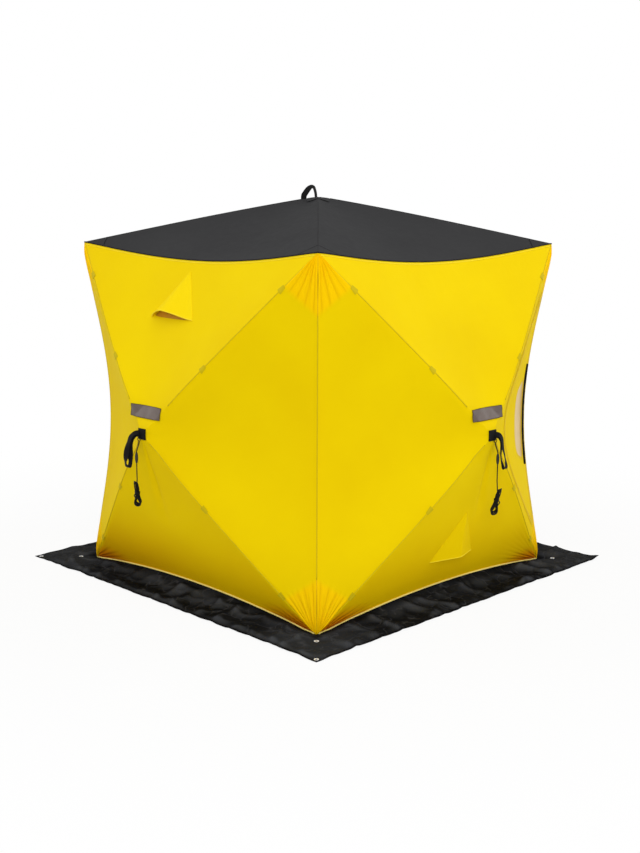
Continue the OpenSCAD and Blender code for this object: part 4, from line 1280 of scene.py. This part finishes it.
def buildBlind():
    roll, ties = bmesh.new(), bmesh.new()

    def place(u, v):
        along, out, side = blindFrame(u)
        r = blind["core"] + (blind["radius"] - blind["core"]) * v
        r *= 1 + (pinch(u) - 1) * v
        turn = 2 * math.pi * blind["turns"] * v + blind["startTurn"]
        return blindSpot(u) + r * (math.cos(turn) * out + math.sin(turn) * side)

    addGrid(roll, blind["along"], blind["around"], place,
            lambda u, v, co: (u * blind["long"], v * blind["flat"][0]))
    for tie in blind["ties"]:
        along, out, side = blindFrame(tie)
        r = blind["radius"] * pinch(tie) + blind["tieRadius"]
        for end in (-1, 1):
            middle = blindSpot(tie) + along * end * blind["tieApart"]
            turns = [2 * math.pi * i / blind["tieSteps"] for i in range(blind["tieSteps"] + 1)]
            ring = [middle + r * (math.cos(turn) * out + math.sin(turn) * side) for turn in turns]
            addTube(ties, ring, blind["tieRadius"], tubeSides["thin"])
    merge(ties)
    obj = finishPiece("blind_roll", roll, blindCloth, ["window_blind"], blind["thick"], 0.0)
    finishPiece("blind_ties", ties, webbing)


buildBlind()
print("door, window and blind fitted")

# roof corner pieces: doubled grey cloth at the eave's corners, with a sewn edge
roofCorners = dict(ridgeShare=0.90, edgeShare=0.085, lift=0.0012, thick=0.0008, across=16, out=10,
                   seam=0.0014, seamSteps=20)


def buildRoofCorners():
    bm, seam = bmesh.new(), bmesh.new()
    for w in range(4):
        for end in (0, 1):
            def place(u, v, end=end):
                s = v * roofCorners["edgeShare"] * u
                t = 1 - v * (1 - roofCorners["ridgeShare"]) * (1 - u)
                return turned(roofPoint(w, s if end == 0 else 1 - s, t, roofCorners["lift"]), w)
            addGrid(bm, roofCorners["across"], roofCorners["out"], place, planUv)
            count = roofCorners["seamSteps"]
            edge = [place(i / count, 1) for i in range(count + 1)]
            addTube(seam, edge, roofCorners["seam"], tubeSides["thin"])
    merge(seam)
    finishPiece("roof_corners", bm, greyCloth, (), roofCorners["thick"], 0.0)
    finishPiece("roof_corner_seams", seam, blackTape)


buildRoofCorners()

# the hard pieces of the part that still show keep their own shape
shown = {rodFibre: ["poles"], hubPlastic: ["hub", "knuckles"], eyeletMetal: ["eyelets"], ringMetal: ["rings"],
         sliderPlastic: ["slider"]}
for material, words in shown.items():
    for name, obj in nodes.items():
        if any(word in name for word in words) and "patch" not in name:
            obj.data.materials.clear()
            obj.data.materials.append(material)
print("hard pieces finished")

# studio: a pale floor that keeps the shadow, a white background and broad soft lamps
studio = dict(floorSize=40, floorDrop=0.0005, floorColor="#E2E2E0", floorWhite=0.92, fadeFrom=1.3, fadeTo=3.2,
              ambient=0.56, white="#FFFFFF")


# 1 for a ray of one of these kinds, and 0 for the rays that light the part
def seenBy(tree, kinds):
    path = addNode(tree, "LightPath")
    rays = [path.outputs["Is " + kind + " Ray"] for kind in kinds]
    seen = rays[0]
    for ray in rays[1:]:
        seen = addNode(tree, "Math", {"operation": "MAXIMUM"}, {0: seen, 1: ray}).outputs["Value"]
    return seen


def buildFloor():
    bm = bmesh.new()
    bmesh.ops.create_grid(bm, x_segments=1, y_segments=1, size=studio["floorSize"] / 2)
    mesh = bpy.data.meshes.new("floor")
    bm.to_mesh(mesh)
    bm.free()
    floor = bpy.data.objects.new("floor", mesh)
    floor.location.z = -studio["floorDrop"]
    scene.collection.objects.link(floor)
    material, tree = newMaterial("studio floor")
    place = addNode(tree, "TexCoord")
    away = addNode(tree, "VectorMath", {"operation": "LENGTH"}, {0: place.outputs["Object"]})
    fade = addNode(tree, "MapRange", {"interpolation_type": "SMOOTHSTEP", "From Min": studio["fadeFrom"],
                                      "From Max": studio["fadeTo"], "To Min": studio["floorWhite"]},
                   {"Value": away.outputs["Value"]})
    share = addNode(tree, "Math", {"operation": "MULTIPLY"},
                    {0: seenBy(tree, ("Camera", "Transmission", "Glossy")), 1: fade.outputs["Result"]})
    matt = addNode(tree, "BsdfDiffuse", {"Color": linear(studio["floorColor"])})
    white = addNode(tree, "Emission", {"Color": linear(studio["white"]), "Strength": 1.0})
    both = addNode(tree, "MixShader", None, {0: share.outputs["Value"], 1: matt.outputs["BSDF"],
                                             2: white.outputs["Emission"]})
    addNode(tree, "OutputMaterial", None, {"Surface": both.outputs["Shader"]})
    mesh.materials.append(material)


def buildWorld():
    world = bpy.data.worlds.new("studio")
    scene.world = world
    world.use_nodes = True
    tree = world.node_tree
    tree.nodes.clear()
    light, white = [addNode(tree, "Background", {"Color": linear(studio["white"]), "Strength": strength})
                    for strength in (studio["ambient"], 1.0)]
    both = addNode(tree, "MixShader", None, {0: seenBy(tree, ("Camera", "Transmission")),
                                             1: light.outputs["Background"], 2: white.outputs["Background"]})
    addNode(tree, "OutputWorld", None, {"Surface": both.outputs["Shader"]})


# each lamp: place, aim, size and power
lamps = dict(over=dict(place=(1.5, -1.5, 5.5), aim=(0, 0, 0.6), size=5.0, power=80),
             near=dict(place=(5.8, -5.2, 3.4), aim=(0, 0, 0.8), size=3.0, power=150),
             left=dict(place=(-6.0, -3.5, 4.0), aim=(0, 0, 0.8), size=4.0, power=110),
             right=dict(place=(3.5, 6.0, 4.0), aim=(0, 0, 0.8), size=4.0, power=120),
             low=dict(place=(6.5, 1.2, 0.4), aim=(0.9, 0, 0.4), size=1.6, power=24))


def buildLamps():
    for name, lamp in lamps.items():
        data = bpy.data.lights.new(name, "AREA")
        data.shape = "DISK"
        data.size = lamp["size"]
        data.energy = lamp["power"]
        obj = bpy.data.objects.new(name, data)
        obj.location = lamp["place"]
        obj.rotation_mode = "QUATERNION"
        obj.rotation_quaternion = (Vector(lamp["aim"]) - Vector(lamp["place"])).to_track_quat("-Z", "Y")
        scene.collection.objects.link(obj)


buildFloor()
buildWorld()
buildLamps()
print("studio lit")
